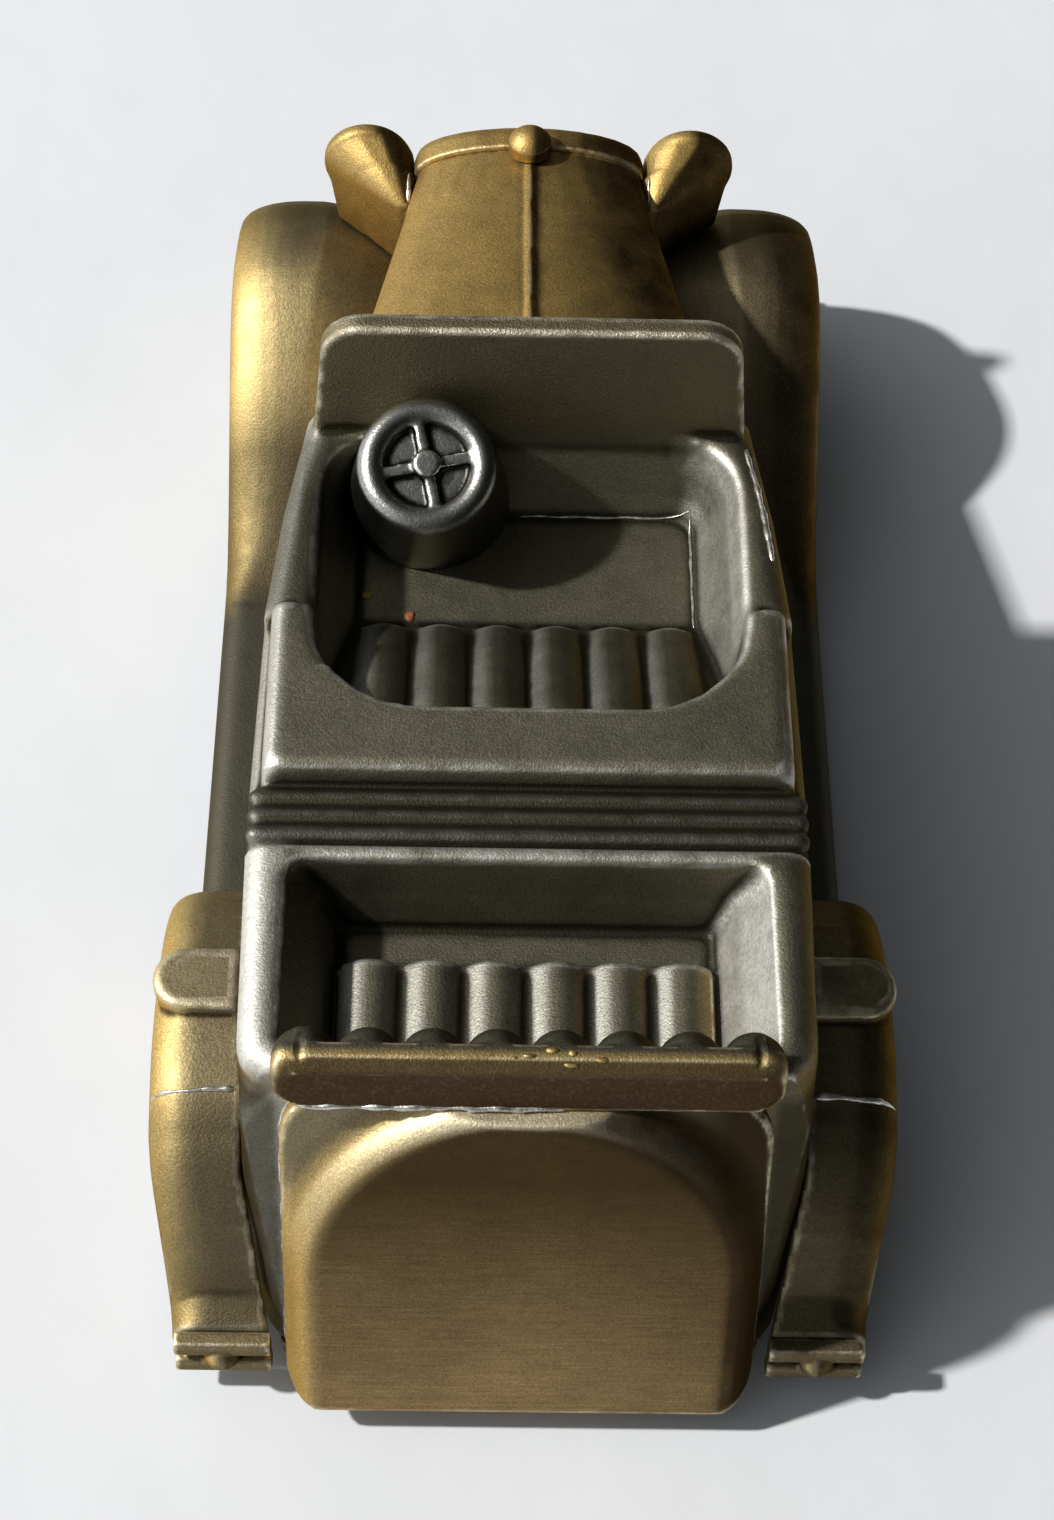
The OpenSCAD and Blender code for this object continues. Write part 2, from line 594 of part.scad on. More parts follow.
// ---- Rumble seat back ---------------------------------------------------

// Stands on the deck behind the well, over the top of the spare wheel cover.
back_front_y = deck_end_y + 1.4;
back_roll = back_w / back_rolls;
module rounded_slab(w, z0, z1, low_r, top_r) union() {
    for (s = [-1, 1]) {
        translate([s * (w - low_r), z0 + low_r]) circle(r = low_r);
        translate([s * (w - top_r), z1 - top_r]) circle(r = top_r);
    }
    translate([low_r - w, z0]) square([2 * (w - low_r), z1 - z0]);
    translate([-w, z0 + low_r]) square([2 * w, z1 - z0 - low_r - top_r]);
}
module rumble_seat_back() color(bronze) intersection() {
    facing(back_front_y - back_t, back_front_y + 3) rounded_slab(back_w, belt_z, belt_z + back_h, 3, 1.6);
    along_x(-back_w, back_w) {
        polygon([[back_front_y + 2, belt_z], [back_front_y + 2, belt_z + back_h - 1.5],
            [back_front_y + 0.6, belt_z + back_h], [back_front_y + 1.6 - back_t, belt_z + back_h],
            [back_front_y + 0.4 - back_t, belt_z + back_h - 1.3], [back_front_y - back_t, belt_z]]);
    }
    union() {
        box(-back_w, back_w, back_front_y - back_t, back_front_y - 2, belt_z, belt_z + back_h);
        for (x = [back_roll - back_w:2 * back_roll:back_w]) translate([x, back_front_y - 2.2, belt_z]) {
            cylinder(r = back_roll * 1.06, h = back_h - 3.2);
            translate([0, 0, back_h - 3.2]) sphere(r = back_roll * 1.06);
        }
    }
}

// ---- Spare wheel cover --------------------------------------------------

cover_low = (cover_z - belt_z) / cos(tail_lean) - (cover_t + contact) * tan(tail_lean);
cover_mid = (cover_top_z - belt_z) / cos(tail_lean) - cover_r;
cover_face_r = cover_r - cover_shoulder_r;
cover_edge = 0.3;      // margin of the plate around the raised face
cover_corner_r = 8;    // its upper corners
cover_foot_r = 4;      // its lower corners
cover_high = cover_mid + cover_r + cover_edge;
cover_wide = cover_r + cover_edge;
blend = asin((cover_plate_t - cover_t) / (cover_shoulder_r + cover_hollow_r) + 1);
// Half section: a flat face, its full shoulder, and a hollow that runs out onto the plate.
hollow_x = cover_face_r + (cover_shoulder_r + cover_hollow_r) * cos(blend);
module cover_profile() difference() {
    union() {
        square([cover_face_r, cover_t]);
        square([cover_wide + 6, cover_plate_t]);
        translate([cover_face_r, cover_t - cover_shoulder_r]) intersection() {
            circle(r = cover_shoulder_r);
            translate([0, cover_shoulder_r - cover_t]) square(cover_t);
        }
        polygon([[cover_face_r, 1], [hollow_x, 1], [hollow_x, cover_plate_t],
            [cover_face_r + cover_shoulder_r * cos(blend), cover_t - cover_shoulder_r * (1 - sin(blend))],
            [cover_face_r, cover_t - cover_shoulder_r]]);
    }
    translate([hollow_x, cover_plate_t + cover_hollow_r]) circle(r = cover_hollow_r);
}

module cover_outline() polygon(concat(
    arc(cover_wide - cover_corner_r, cover_high - cover_corner_r, cover_corner_r, 0, 90, 10),
    arc(cover_corner_r - cover_wide, cover_high - cover_corner_r, cover_corner_r, 90, 180, 10),
    arc(cover_foot_r - cover_wide, cover_low + cover_foot_r, cover_foot_r, 180, 270),
    arc(cover_wide - cover_foot_r, cover_low + cover_foot_r, cover_foot_r, 270, 360)));
module spare_wheel_cover() color(bronze) difference() {
    on_tail(contact) intersection() {
        union() {
            translate([0, cover_mid, 0]) rotate_extrude(angle = 180) cover_profile();
            both_sides() translate([0, cover_mid, 0]) rotate([90, 0, 0])
                linear_extrude(cover_mid - cover_low) cover_profile();
        }
        linear_extrude(3 * cover_t, center = true) cover_outline();
    }
    box(-clear, clear, -2 * clear, 0, cover_z - clear, cover_z);
    box(-clear, clear, -2 * clear, 0, belt_z - contact, belt_z + clear);
}

// ---- Fenders ------------------------------------------------------------

arch_r = wheel_r + 0.9;
tail_z = 9.3;
function oval(d, a, b) = abs(d) >= a ? 0 : b * sqrt(1 - d * d / (a * a));
function top_of(y) =
    y > front_crown_y ? 10.6 + oval(y - front_crown_y, fender_front_y - front_crown_y, crown_z - 10.6)
    : y > board_front_y
        ? board_z + (crown_z - board_z) * smooth((y - board_front_y) / (front_crown_y - board_front_y))
    : y > rear_crown_y ? board_z + oval(y - rear_crown_y, rear_fender_y - rear_crown_y, crown_z - board_z)
    : max(board_z + oval(y - rear_crown_y, rear_crown_y - fender_rear_y - 3.5, crown_z - board_z),
        tail_z + 0.74 * (y - fender_rear_y));
// Inside height: the outside one, moved in by the wall along its own slope.
function under_of(y) = min([for (a = [-90:22.5:90]) top_of(y + fender_t * sin(a)) - fender_t * cos(a)]);
function outer_x(y) =
    y > fender_front_y - 6 ? board_w - 6 + oval(y - fender_front_y + 6, 6.01, 6)
    : y > rear_fender_y ? board_w
    : y > rear_fender_y - 4 ? board_w + (fender_w - board_w) * smooth((rear_fender_y - y) / 4)
    : fender_w - 2.2 * smooth((fender_rear_y + 15 - y) / 15);
function inner_x(y) =
    y > radiator_y + seam ? bonnet_front_w + radiator_lip + seam
        + 5 * (1 - sqrt(1 - pow(min(1, (y - radiator_y) / (fender_front_y - radiator_y)), 2)))
    : y > bonnet_end_y - seam ? bonnet_front_w + radiator_lip + seam
    : y > bonnet_y0 + seam ? bonnet_half(y) + seam
    : body_half(y) + seam;
function arch_z(y, at) = abs(y - at) < arch_r ? wheel_r + sqrt(arch_r * arch_r - (y - at) * (y - at)) : 0;
function skirt_of(y) =
    max(y > front_axle_y ? front_skirt_z : skirt_z, arch_z(y, front_axle_y), arch_z(y, rear_axle_y));
dip = 2.6;             // fall of the front fenders' tops towards the bonnet
function dip_of(y) = dip * smooth((y - front_crown_y + 22) / 16);

function widened(points, x, k) = [for (p = points) [x + (p[0] - x) * k, p[1]]];
function fender_section(y) = let (top = top_of(y), low = min(skirt_of(y), top - 0.5),
        x0 = inner_x(y), x1 = outer_x(y), mid = (x0 + x1) / 2,
        r = min(shoulder_r, (top - low) * 0.8, x1 - x0 - 1),
        wide = max(1, min(shoulder_wide, (x1 - mid - 0.3) / r, 1 + (top - board_z) / 8)),
        fall = min(dip_of(y), top - low - 0.3), under = max(low + 0.02, min(under_of(y), top - 0.4)),
        ri = max(0.3, min(r - fender_t, (under - low) * 0.8)),
        xi = x1 - fender_t, inner_under = max(low + 0.01, under - fall))
    concat([[x1, low]], widened(arc(x1 - r, top - r, r, 0, 90), x1, wide),
        [[mid, top], [lerp(x0, mid, 0.5), top - fall * 0.45],
        [x0, top - fall], [x0, inner_under], [lerp(x0, mid, 0.5), max(low + 0.015, under - fall * 0.45)],
        [mid - 0.2, under]], widened(arc(xi - ri, under - ri, ri, 90, 0), xi, wide), [[xi, low]]);
function lerp(a, b, t) = a + (b - a) * t;

fender_stations = concat(
    [fender_front_y - 0.05], steps(fender_front_y - 0.6, fender_front_y - 6, 5),
    steps(front_axle_y + arch_r + 0.02, front_axle_y + arch_r - 0.6, 1),
    [radiator_y + 2 * seam, radiator_y + seam - eps],
    steps(radiator_y - 1.4, bonnet_end_y, 2), [bonnet_end_y - seam - eps],
    steps(bonnet_end_y - 2, front_axle_y - arch_r + 3, 8),
    [front_axle_y - arch_r + 0.6, front_axle_y - arch_r - 0.02],
    steps(front_axle_y - arch_r - 3, bonnet_y0 + 2 * seam, 9), [bonnet_y0 + seam - eps],
    [cockpit_front_y, door_y, block_front_y, rear_fender_y + 0.3],
    steps(rear_fender_y - 0.1, rear_fender_y - 4, 6), steps(rear_fender_y - 6, rear_axle_y + arch_r + 0.02, 2),
    [rear_axle_y + arch_r - 0.6], steps(rear_axle_y + arch_r - 3, rear_axle_y - arch_r + 3, 9),
    [rear_axle_y - arch_r + 0.6, rear_axle_y - arch_r - 0.02],
    [deck_end_y, deck_end_y - 1], steps(deck_end_y - 2.4, fender_rear_y, 5));

pad_r = pad_l / 2;
module fender() {
    skin([for (y = fender_stations) ring_at(y, fender_section(y))], strips = true);
    translate([0, rear_crown_y + 1.4, crown_z - 1]) {
        box(body_w + seam, fender_w - pad_r, -pad_r, pad_r, 0, 1.9);
        translate([fender_w - pad_r, 0, 0]) cylinder(r = pad_r, h = 1.9);
    }
}
module right_fender() color(bronze) fender();
module left_fender() color(bronze) mirror([1, 0, 0]) fender();

// ---- Lamps and bumpers --------------------------------------------------

lamp_rear_y = lamp_y - lamp_l;
lamp_pod_r = lamp_r * 0.93;
lamp_draft = 1.2;      // draw-in of the pod's outer side towards its foot
lamp_foot_gap = 0.2;
function lamp_in(y) = y > bonnet_end_y ? bonnet_front_w + radiator_lip : bonnet_half(y) + contact;
function fender_at(x, y) = let (top = top_of(y), x0 = inner_x(y), mid = (x0 + outer_x(y)) / 2)
    lookup(x, [[x0, top - dip_of(y)], [lerp(x0, mid, 0.5), top - dip_of(y) * 0.45], [mid, top]]);
// A half bullet against the bonnet's side, drawn straight down from its widest line to the fender.
function pod_section(y) = let (swell = pow(min(1, (y - lamp_rear_y) / (lamp_l - lamp_rim)), 0.75),
        x0 = lamp_in(y), x1 = lerp(x0 + 0.4, lamp_x + lamp_pod_r, swell), a = (x1 - x0) / 2,
        foot = x1 - lamp_draft * swell)
    concat([[foot, fender_at(foot, y) + lamp_foot_gap]],
        [for (turn = [0:15:75]) [x0 + a + a * cos(turn), lamp_z + lamp_pod_r * swell * sin(turn)]],
        [for (turn = [105:15:180]) [x0 + a + a * cos(turn), lamp_z + lamp_pod_r * swell * sin(turn)]],
        [[x0, fender_at(x0, y) + lamp_foot_gap]]);
pod_stations = concat([lamp_y - lamp_rim / 2], steps(lamp_y - lamp_rim, bonnet_end_y + eps, 3),
    steps(bonnet_end_y - eps, lamp_rear_y + 0.3, 7));
module lamp_rim_profile() polygon([[0, -lamp_rim], [lamp_r - 0.4, -lamp_rim], [lamp_r, 0.4 - lamp_rim],
    [lamp_r, -0.6], [lamp_r - 0.6, 0], [lamp_r - 1.1, -0.3], [lamp_r * 0.5, 0.4], [0, 0.7]]);
module headlamp() {
    skin([for (y = pod_stations) ring_at(y, pod_section(y))], strips = true);
    translate([lamp_x, lamp_y, lamp_z]) rotate([-90, 0, 0]) rotate_extrude() lamp_rim_profile();
}
module right_headlamp() color(bronze) headlamp();
module left_headlamp() color(bronze) mirror([1, 0, 0]) headlamp();

module bumper_bar(x0, x1, y0, z) hull() {
    box(x0, x1, y0 + 0.3, y0 + bar_t, z - bar_h / 2, z + bar_h / 2);
    box(x0, x1, y0, y0 + bar_t, z - bar_h / 2 + 0.5, z + bar_h / 2 - 0.5);
}
stud_sink = 0.6;
stud_dome = stud_r - stud_sink;
module bumper_stud(x, y, z) translate([x, y, z]) rotate([90, 0, 0]) {
    cylinder(r = stud_r, h = 0.8);
    translate([0, 0, 0.8]) intersection() {
        cylinder(r = stud_r, h = stud_r);
        translate([0, 0, -stud_sink]) sphere(r = stud_r);
    }
}
rear_bar_y = fender_rear_y - contact - bar_t;
module rear_bumper() {
    for (s = [-1, 1]) bumper_bar(tail_w + 0.2, board_w - 0.9, rear_bar_y, bumper_z + s * bar_pitch / 2);
    box(tail_w + 1.4, board_w - 2, rear_bar_y + 0.9, rear_bar_y + bar_t,
        bumper_z - bar_pitch / 2, bumper_z + bar_pitch / 2);
    bumper_stud((tail_w + board_w) / 2 - 0.2, rear_bar_y + 1, bumper_z);
}
module right_rear_bumper() color(bronze) rear_bumper();
module left_rear_bumper() color(bronze) mirror([1, 0, 0]) rear_bumper();

front_bar_y = nose_y - stud_dome;
module front_bumper() color(bronze) {
    for (s = [-1, 1]) translate([0, 2 * front_bar_y, 0]) mirror([0, 1, 0])
        bumper_bar(-front_bar_w, front_bar_w, front_bar_y, bumper_z + s * bar_pitch / 2);
    both_sides() {
        box(front_stud_x - stud_block_w, front_stud_x + stud_block_w, front_bar_y - bar_t, front_bar_y - 0.8,
            bumper_z - bar_pitch / 2, bumper_z + bar_pitch / 2);
        translate([0, 2 * front_bar_y, 0]) mirror([0, 1, 0])
            bumper_stud(front_stud_x, front_bar_y + 0.8, bumper_z);
        box(9.4, 12.4, radiator_y, front_bar_y - 0.9, bumper_z - 1.4, bumper_z + 1.4);
    }
}

// ---- Wheels -------------------------------------------------------------

rear_wheel_x = body_w + 0.55;
front_wheel_x = board_w - fender_t - 0.5 - wheel_t;
module axle(y, reach) pin_x(axle_r, -reach, reach, y, wheel_r);
module front_axle() color(steel) axle(front_axle_y, front_wheel_x + wheel_t - 0.8);
module rear_axle() color(steel) axle(rear_axle_y, rear_wheel_x + wheel_t - 0.8);

rim_r = wheel_r * 0.68;
module wheel_profile() difference() {
    union() {
        translate([axle_r, 0]) square([wheel_r - 1.2 - axle_r, wheel_t]);
        translate([axle_r, 1.2]) square([wheel_r - axle_r, wheel_t - 2.4]);
        for (h = [1.2, wheel_t - 1.2]) translate([wheel_r - 1.2, h]) circle(r = 1.2);
    }
    translate([axle_r + 2.4, wheel_t - 1.5]) square([rim_r - axle_r - 2.4, 2]);
}
module hub_cap() translate([0, 0, wheel_t - 1.2]) {
    cylinder(r = axle_r + 1.9, h = 1.6);
    translate([0, 0, 1.6]) intersection() {
        cylinder(r = axle_r + 1.9, h = 2);
        translate([0, 0, -2.7]) sphere(r = 3.6);
    }
}
// A wheel with its outer face towards +Z and its inner face at z = 0.
module wheel_casting() {
    difference() {
        union() {
            rotate_extrude() wheel_profile();
            for (i = [0:spokes - 1]) rotate([0, 0, 360 * i / spokes])
                box(axle_r + 1.4, rim_r + 0.3, -0.45, 0.45, wheel_t - 2, wheel_t - 0.9);
            hub_cap();
        }
        translate([0, 0, -1]) cylinder(r = axle_r, h = wheel_t - 0.8 + 1);
    }
}
module wheel_at(y, x) translate([x, y, wheel_r]) rotate([0, 90, 0]) wheel_casting();
module front_right_wheel() color(bronze) wheel_at(front_axle_y, front_wheel_x);
module front_left_wheel() color(bronze) mirror([1, 0, 0]) wheel_at(front_axle_y, front_wheel_x);
module rear_right_wheel() color(bronze) wheel_at(rear_axle_y, rear_wheel_x);
module rear_left_wheel() color(bronze) mirror([1, 0, 0]) wheel_at(rear_axle_y, rear_wheel_x);

// ---- Base plate ---------------------------------------------------------

function plate_side(s) = [for (p = [[deck_foot_y + 1.2, tail_w], [deck_end_y, body_half(deck_end_y)],
        [block_rear_y, body_w], [block_front_y, body_half(block_front_y)], [cowl_y, cowl_w - 0.3],
        [cowl_y + 0.3, bonnet_half(cowl_y)], [bonnet_end_y, bonnet_front_w]])
    [s * (p[1] - plate_inset), p[0]]];
all_screws = concat(body_screws, bonnet_screws);
hinge_y = trap_y + trap_hole_r + trap_lap + knuckle_r + 0.3;
hinge_z = plate_z + 0.2;
notch_y = hinge_y + knuckle_r + 0.3;
knuckle_end = pin_l - 0.4;
module plate_knuckle() {
    pin_x(knuckle_r, knuckle_w + trap_gap, knuckle_end, hinge_y, hinge_z);
    box(knuckle_w + trap_gap, knuckle_end, hinge_y, notch_y + eps, plate_z, hinge_z + knuckle_r - 0.1);
}
// A head that tapers to the shank, with its flat end at z = 0.
module countersink(grow = 0)
    cylinder(r1 = screw_head_r + grow, r2 = screw_r + grow, h = screw_head_r - screw_r);
module base_plate() color(steel) difference() {
    union() {
        difference() {
            translate([0, 0, plate_z]) linear_extrude(plate_t)
                polygon(concat(plate_side(1), reversed(plate_side(-1))));
            translate([0, trap_y, plate_z - 1]) {
                cylinder(r = trap_hole_r, h = plate_t + 2);
                cylinder(r = trap_hole_r + trap_lap + trap_gap, h = trap_t + slide_gap + 1);
            }
            box(-pin_l - 0.3, pin_l + 0.3, trap_y + trap_hole_r - 2, notch_y, plate_z - 1, rim_z + 1);
        }
        both_sides() plate_knuckle();
    }
    box(-slot_w / 2, slot_w / 2, slot_y - slot_l / 2, slot_y + slot_l / 2, plate_z - 1, rim_z + 1);
    both_sides() for (at = all_screws) {
        screw_hole(at, screw_r + contact);
        translate([at[0], at[1], plate_z - eps]) countersink(contact);
    }
    pin_x(pin_r + contact / 2, -pin_l - 1, pin_l + 1, hinge_y, hinge_z);
}
module base_screws() color(steel) both_sides() for (at = all_screws) translate([at[0], at[1], plate_z])
    difference() {
        union() {
            countersink();
            cylinder(r = screw_r, h = screw_l);
        }
        box(-screw_head_r, screw_head_r, -0.3, 0.3, -1, 0.5);
    }

// ---- Coin trap and lock -------------------------------------------------

trap_top = plate_z + trap_t;
lock_y = trap_y - 7.6;
case_top = rim_z + 0.1;
module trap_door() color(steel) difference() {
    union() {
        translate([0, trap_y, plate_z]) cylinder(r = trap_hole_r + trap_lap, h = trap_t);
        box(-knuckle_w, knuckle_w, trap_y, hinge_y, plate_z, trap_top);
        pin_x(knuckle_r, -knuckle_w, knuckle_w, hinge_y, hinge_z);
    }
    pin_x(pin_r + contact / 2, -pin_l - 1, pin_l + 1, hinge_y, hinge_z);
    translate([0, lock_y, 0]) cylinder(r = lock_r - case_wall, h = rim_z + 3);
}
module trap_hinge_pin() color(steel) pin_x(pin_r, -pin_l, pin_l, hinge_y, hinge_z);

case_wall = 1;
case_rim = 0.9;
plug_gap = 0.05;
keyway_w = 0.9;
bar_t_lock = 1.1;
bar_w = 3.6;
bar_z = case_top + slide_gap;
bar_screw_r = 0.75;
module at_lock() translate([0, lock_y, 0]) children();
module lock_case() color(steel) at_lock() difference() {
    union() {
        translate([0, 0, plate_z - case_rim]) cylinder(r = lock_r, h = case_rim);
        translate([0, 0, plate_z - eps]) cylinder(r = lock_r - case_wall, h = case_top - plate_z + eps);
    }
    translate([0, 0, -1]) cylinder(r = plug_r + plug_gap, h = case_top + 3);
}
module lock_plug() color([0.72, 0.58, 0.30]) at_lock() difference() {
    translate([0, 0, plate_z - case_rim - 0.2]) cylinder(r = plug_r, h = bar_z - plate_z + case_rim + 0.2);
    box(0.6 * -plug_r, 0.6 * plug_r, -keyway_w / 2, keyway_w / 2, 0, plate_z + 1.4);
    translate([0, 0, bar_z - 2]) cylinder(r = bar_screw_r + plug_gap, h = 3);
}
module locking_bar() color(steel) at_lock() difference() {
    union() {
        translate([0, 0, bar_z]) cylinder(r = plug_r, h = bar_t_lock);
        box(0, bar_reach, -bar_w / 2, bar_w / 2, bar_z, bar_z + bar_t_lock);
    }
    translate([0, 0, bar_z - 1]) cylinder(r = bar_screw_r + plug_gap, h = bar_t_lock + 2);
}
module bar_screw() color(steel) at_lock() {
    translate([0, 0, bar_z + bar_t_lock]) cylinder(r = 2.2 * bar_screw_r, h = 0.9);
    translate([0, 0, bar_z - 1.2]) cylinder(r = bar_screw_r, h = 1.2 + bar_t_lock + eps);
}

body_shell();
bonnet();
radiator_shell();
radiator_cap();
windscreen();
steering_wheel();
rumble_seat_back();
spare_wheel_cover();
left_fender();
right_fender();
left_headlamp();
right_headlamp();
front_bumper();
left_rear_bumper();
right_rear_bumper();
front_axle();
rear_axle();
front_left_wheel();
front_right_wheel();
rear_left_wheel();
rear_right_wheel();
base_plate();
base_screws();
trap_door();
trap_hinge_pin();
lock_case();
lock_plug();
locking_bar();
bar_screw();
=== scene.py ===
# Cast car money box: worn castings whose finish also carries painted highlights and painted shade, solder
# along their joints, steel and brass parts, paper and light.
import bpy
import math
import random
import numpy as np
from mathutils import Matrix, Vector


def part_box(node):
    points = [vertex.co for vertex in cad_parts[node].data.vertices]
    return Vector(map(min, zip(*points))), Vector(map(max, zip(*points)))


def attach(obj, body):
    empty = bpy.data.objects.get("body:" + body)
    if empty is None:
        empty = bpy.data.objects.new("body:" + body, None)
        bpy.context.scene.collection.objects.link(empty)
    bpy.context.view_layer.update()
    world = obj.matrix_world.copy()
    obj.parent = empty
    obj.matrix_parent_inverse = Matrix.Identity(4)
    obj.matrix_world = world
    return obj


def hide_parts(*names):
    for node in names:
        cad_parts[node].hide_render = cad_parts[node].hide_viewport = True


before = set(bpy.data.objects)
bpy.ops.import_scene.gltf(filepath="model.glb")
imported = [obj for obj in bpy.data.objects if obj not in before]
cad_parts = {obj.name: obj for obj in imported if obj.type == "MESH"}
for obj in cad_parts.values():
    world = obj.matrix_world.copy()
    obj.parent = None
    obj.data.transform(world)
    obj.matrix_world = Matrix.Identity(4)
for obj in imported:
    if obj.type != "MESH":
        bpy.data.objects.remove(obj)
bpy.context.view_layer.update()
mm = 0.001
camera = {"place": (-5.68, -204.72, 284.12), "pitch": 53.68, "yaw": 1.776, "roll": 2.323, "lens": 71.09}


def makeCamera():
    pitch, yaw, roll = (math.radians(camera[k]) for k in ("pitch", "yaw", "roll"))
    ahead = Vector((math.sin(yaw) * math.cos(pitch), math.cos(yaw) * math.cos(pitch), -math.sin(pitch)))
    side = Vector((math.cos(yaw), -math.sin(yaw), 0))
    over = side.cross(ahead)
    right = math.cos(roll) * side + math.sin(roll) * over
    up = math.cos(roll) * over - math.sin(roll) * side
    turn = Matrix((right, up, -ahead)).transposed().to_4x4()
    lens = bpy.data.cameras.new("camera")
    lens.lens = camera["lens"]
    lens.clip_start, lens.clip_end = 0.01, 20
    obj = bpy.data.objects.new("camera", lens)
    bpy.context.scene.collection.objects.link(obj)
    obj.matrix_world = Matrix.Translation(Vector(camera["place"]) * mm) @ turn
    bpy.context.scene.camera = obj


makeCamera()
print("camera placed")


def deselectAll():
    for obj in bpy.context.selected_objects:
        obj.select_set(False)


def pickOnly(*objs):
    deselectAll()
    for obj in objs:
        obj.select_set(True)
    bpy.context.view_layer.objects.active = objs[0]


def inEditMode(obj, job):  # everything is selected when job starts
    pickOnly(obj)
    bpy.ops.object.mode_set(mode="EDIT")
    bpy.ops.mesh.select_all(action="SELECT")
    job()
    bpy.ops.object.mode_set(mode="OBJECT")


def pickFaces(obj, wanted):  # wanted is one True or False for each face
    mesh = obj.data
    mesh.vertices.foreach_set("select", np.zeros(len(mesh.vertices), bool))
    mesh.edges.foreach_set("select", np.zeros(len(mesh.edges), bool))
    mesh.polygons.foreach_set("select", wanted)
    mesh.update()


def faceCentres(obj):
    centres = np.empty(len(obj.data.polygons) * 3)
    obj.data.polygons.foreach_get("center", centres)
    return centres.reshape(-1, 3) / mm


def applied(obj, kind, **values):
    pickOnly(obj)
    mod = obj.modifiers.new(kind.lower(), kind)
    for key, value in values.items():
        setattr(mod, key, value)
    bpy.ops.object.modifier_apply(modifier=mod.name)


def cleaned(obj):
    def job():
        bpy.ops.mesh.remove_doubles(threshold=0.000002)
        bpy.ops.mesh.normals_make_consistent(inside=False)
    inEditMode(obj, job)


def copyOfNode(name, node):
    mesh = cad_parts[node].data.copy()
    mesh.materials.clear()
    obj = bpy.data.objects.new(name, mesh)
    bpy.context.scene.collection.objects.link(obj)
    cleaned(obj)
    return obj


def pointsOf(obj):
    points = np.empty(len(obj.data.vertices) * 3)
    obj.data.vertices.foreach_get("co", points)
    return points.reshape(-1, 3)


def normalsOf(obj):
    normals = np.empty(len(obj.data.vertices) * 3)
    obj.data.vertex_normals.foreach_get("vector", normals)
    return normals.reshape(-1, 3)


def averaged(values, edges, rounds):
    count = np.bincount(edges.ravel(), minlength=len(values))[:, None].clip(1)
    for _ in range(rounds):
        total = np.zeros_like(values)
        for axis in range(values.shape[1]):
            total[:, axis] = np.bincount(edges[:, 0], values[edges[:, 1], axis], len(values))
            total[:, axis] += np.bincount(edges[:, 1], values[edges[:, 0], axis], len(values))
        values = 0.5 * values + 0.5 * total / count
    return values


def addMask(obj, name, values):
    layer = obj.data.attributes.get(name) or obj.data.attributes.new(name, "FLOAT", "POINT")
    layer.data.foreach_set("value", np.clip(values, 0, 1).astype(np.float32))


wearAndShade = {"wideRounds": 14, "wideReach": 0.10, "keenRounds": 4, "keenReach": 0.030,
        "shadeDrift": 0.0022}  # reaches in mm


def wearAndFacingMasks(obj):  # how proud or sunk each point is, and which way it faces, which also steers the painted sheen and painted shade
    edges = np.empty(len(obj.data.edges) * 2, np.int32)
    obj.data.edges.foreach_get("vertices", edges)
    edges = edges.reshape(-1, 2)
    points, normals = pointsOf(obj), normalsOf(obj)
    for name, rounds, reach in (("proud", wearAndShade["wideRounds"], wearAndShade["wideReach"]),
                                ("keen", wearAndShade["keenRounds"], wearAndShade["keenReach"])):
        height = ((points - averaged(points, edges, rounds)) * normals).sum(1, keepdims=True) / (reach * mm)
        height = averaged(height, edges, 1)[:, 0]
        addMask(obj, name, height)
        if name == "proud":
            addMask(obj, "sunk", -height)
    addMask(obj, "upward", averaged(normals[:, 2:3], edges, 3)[:, 0] * 0.5 + 0.5)
    addMask(obj, "flank", averaged(normals[:, 0:1] * np.sign(points[:, 0:1]), edges, 2)[:, 0])
    shadeDrift = points[:, 0] / mm * wearAndShade["shadeDrift"]  # painted shade grows and painted sheen fades towards the right side, away from the light
    addMask(obj, "lee", averaged(normals[:, 0:1], edges, 3)[:, 0] * 0.5 + 0.5 + shadeDrift)


def castSkin(obj, voxel, rounds, share=1.0, factor=0.5):
    applied(obj, "REMESH", mode="VOXEL", voxel_size=voxel * mm, use_smooth_shade=True)
    applied(obj, "SMOOTH", factor=factor, iterations=rounds)
    softenParts(obj)
    if share < 1:
        applied(obj, "DECIMATE", ratio=share)
    pickOnly(obj)
    bpy.ops.object.shade_smooth()
    wearAndFacingMasks(obj)
    print("  ", obj.name, len(obj.data.polygons), "faces")


fenderSweep = (26, (-22, 24), (27.5, 50), (0, 40))
soften = {  # rounds, then from and to along the car, out from its middle, and in height, in mm
    "bodyCasting": {"tub": (55, (-17, 15.4), (16, 24.2), (38, 44.5)),
                    "deck": (45, (-63, -38.5), (23.6, 40), (38, 60))},
    "bonnetCasting": {"panels": (110, (20, 54.5), (1.5, 30), (30, 60))},
    "leftFender": {"sweep": fenderSweep},
    "rightFender": {"sweep": fenderSweep},
    "seatBack": {"ends": (45, (-90, -50), (21.5, 40), (43, 70))},
}


def inside(values, reach):
    return (values > reach[0]) & (values < reach[1])


def softenParts(obj):  # parts that the mould left rounder than the rest
    for name, (rounds, along, out, height) in soften.get(obj.name, {}).items():
        x, y, z = (pointsOf(obj) / mm).T
        part = inside(y, along) & inside(abs(x), out) & inside(z, height)
        group = obj.vertex_groups.new(name=name)
        group.add(np.nonzero(part)[0].tolist(), 1.0, "REPLACE")
        applied(obj, "SMOOTH", factor=0.5, iterations=rounds, vertex_group=name)
    obj.vertex_groups.clear()


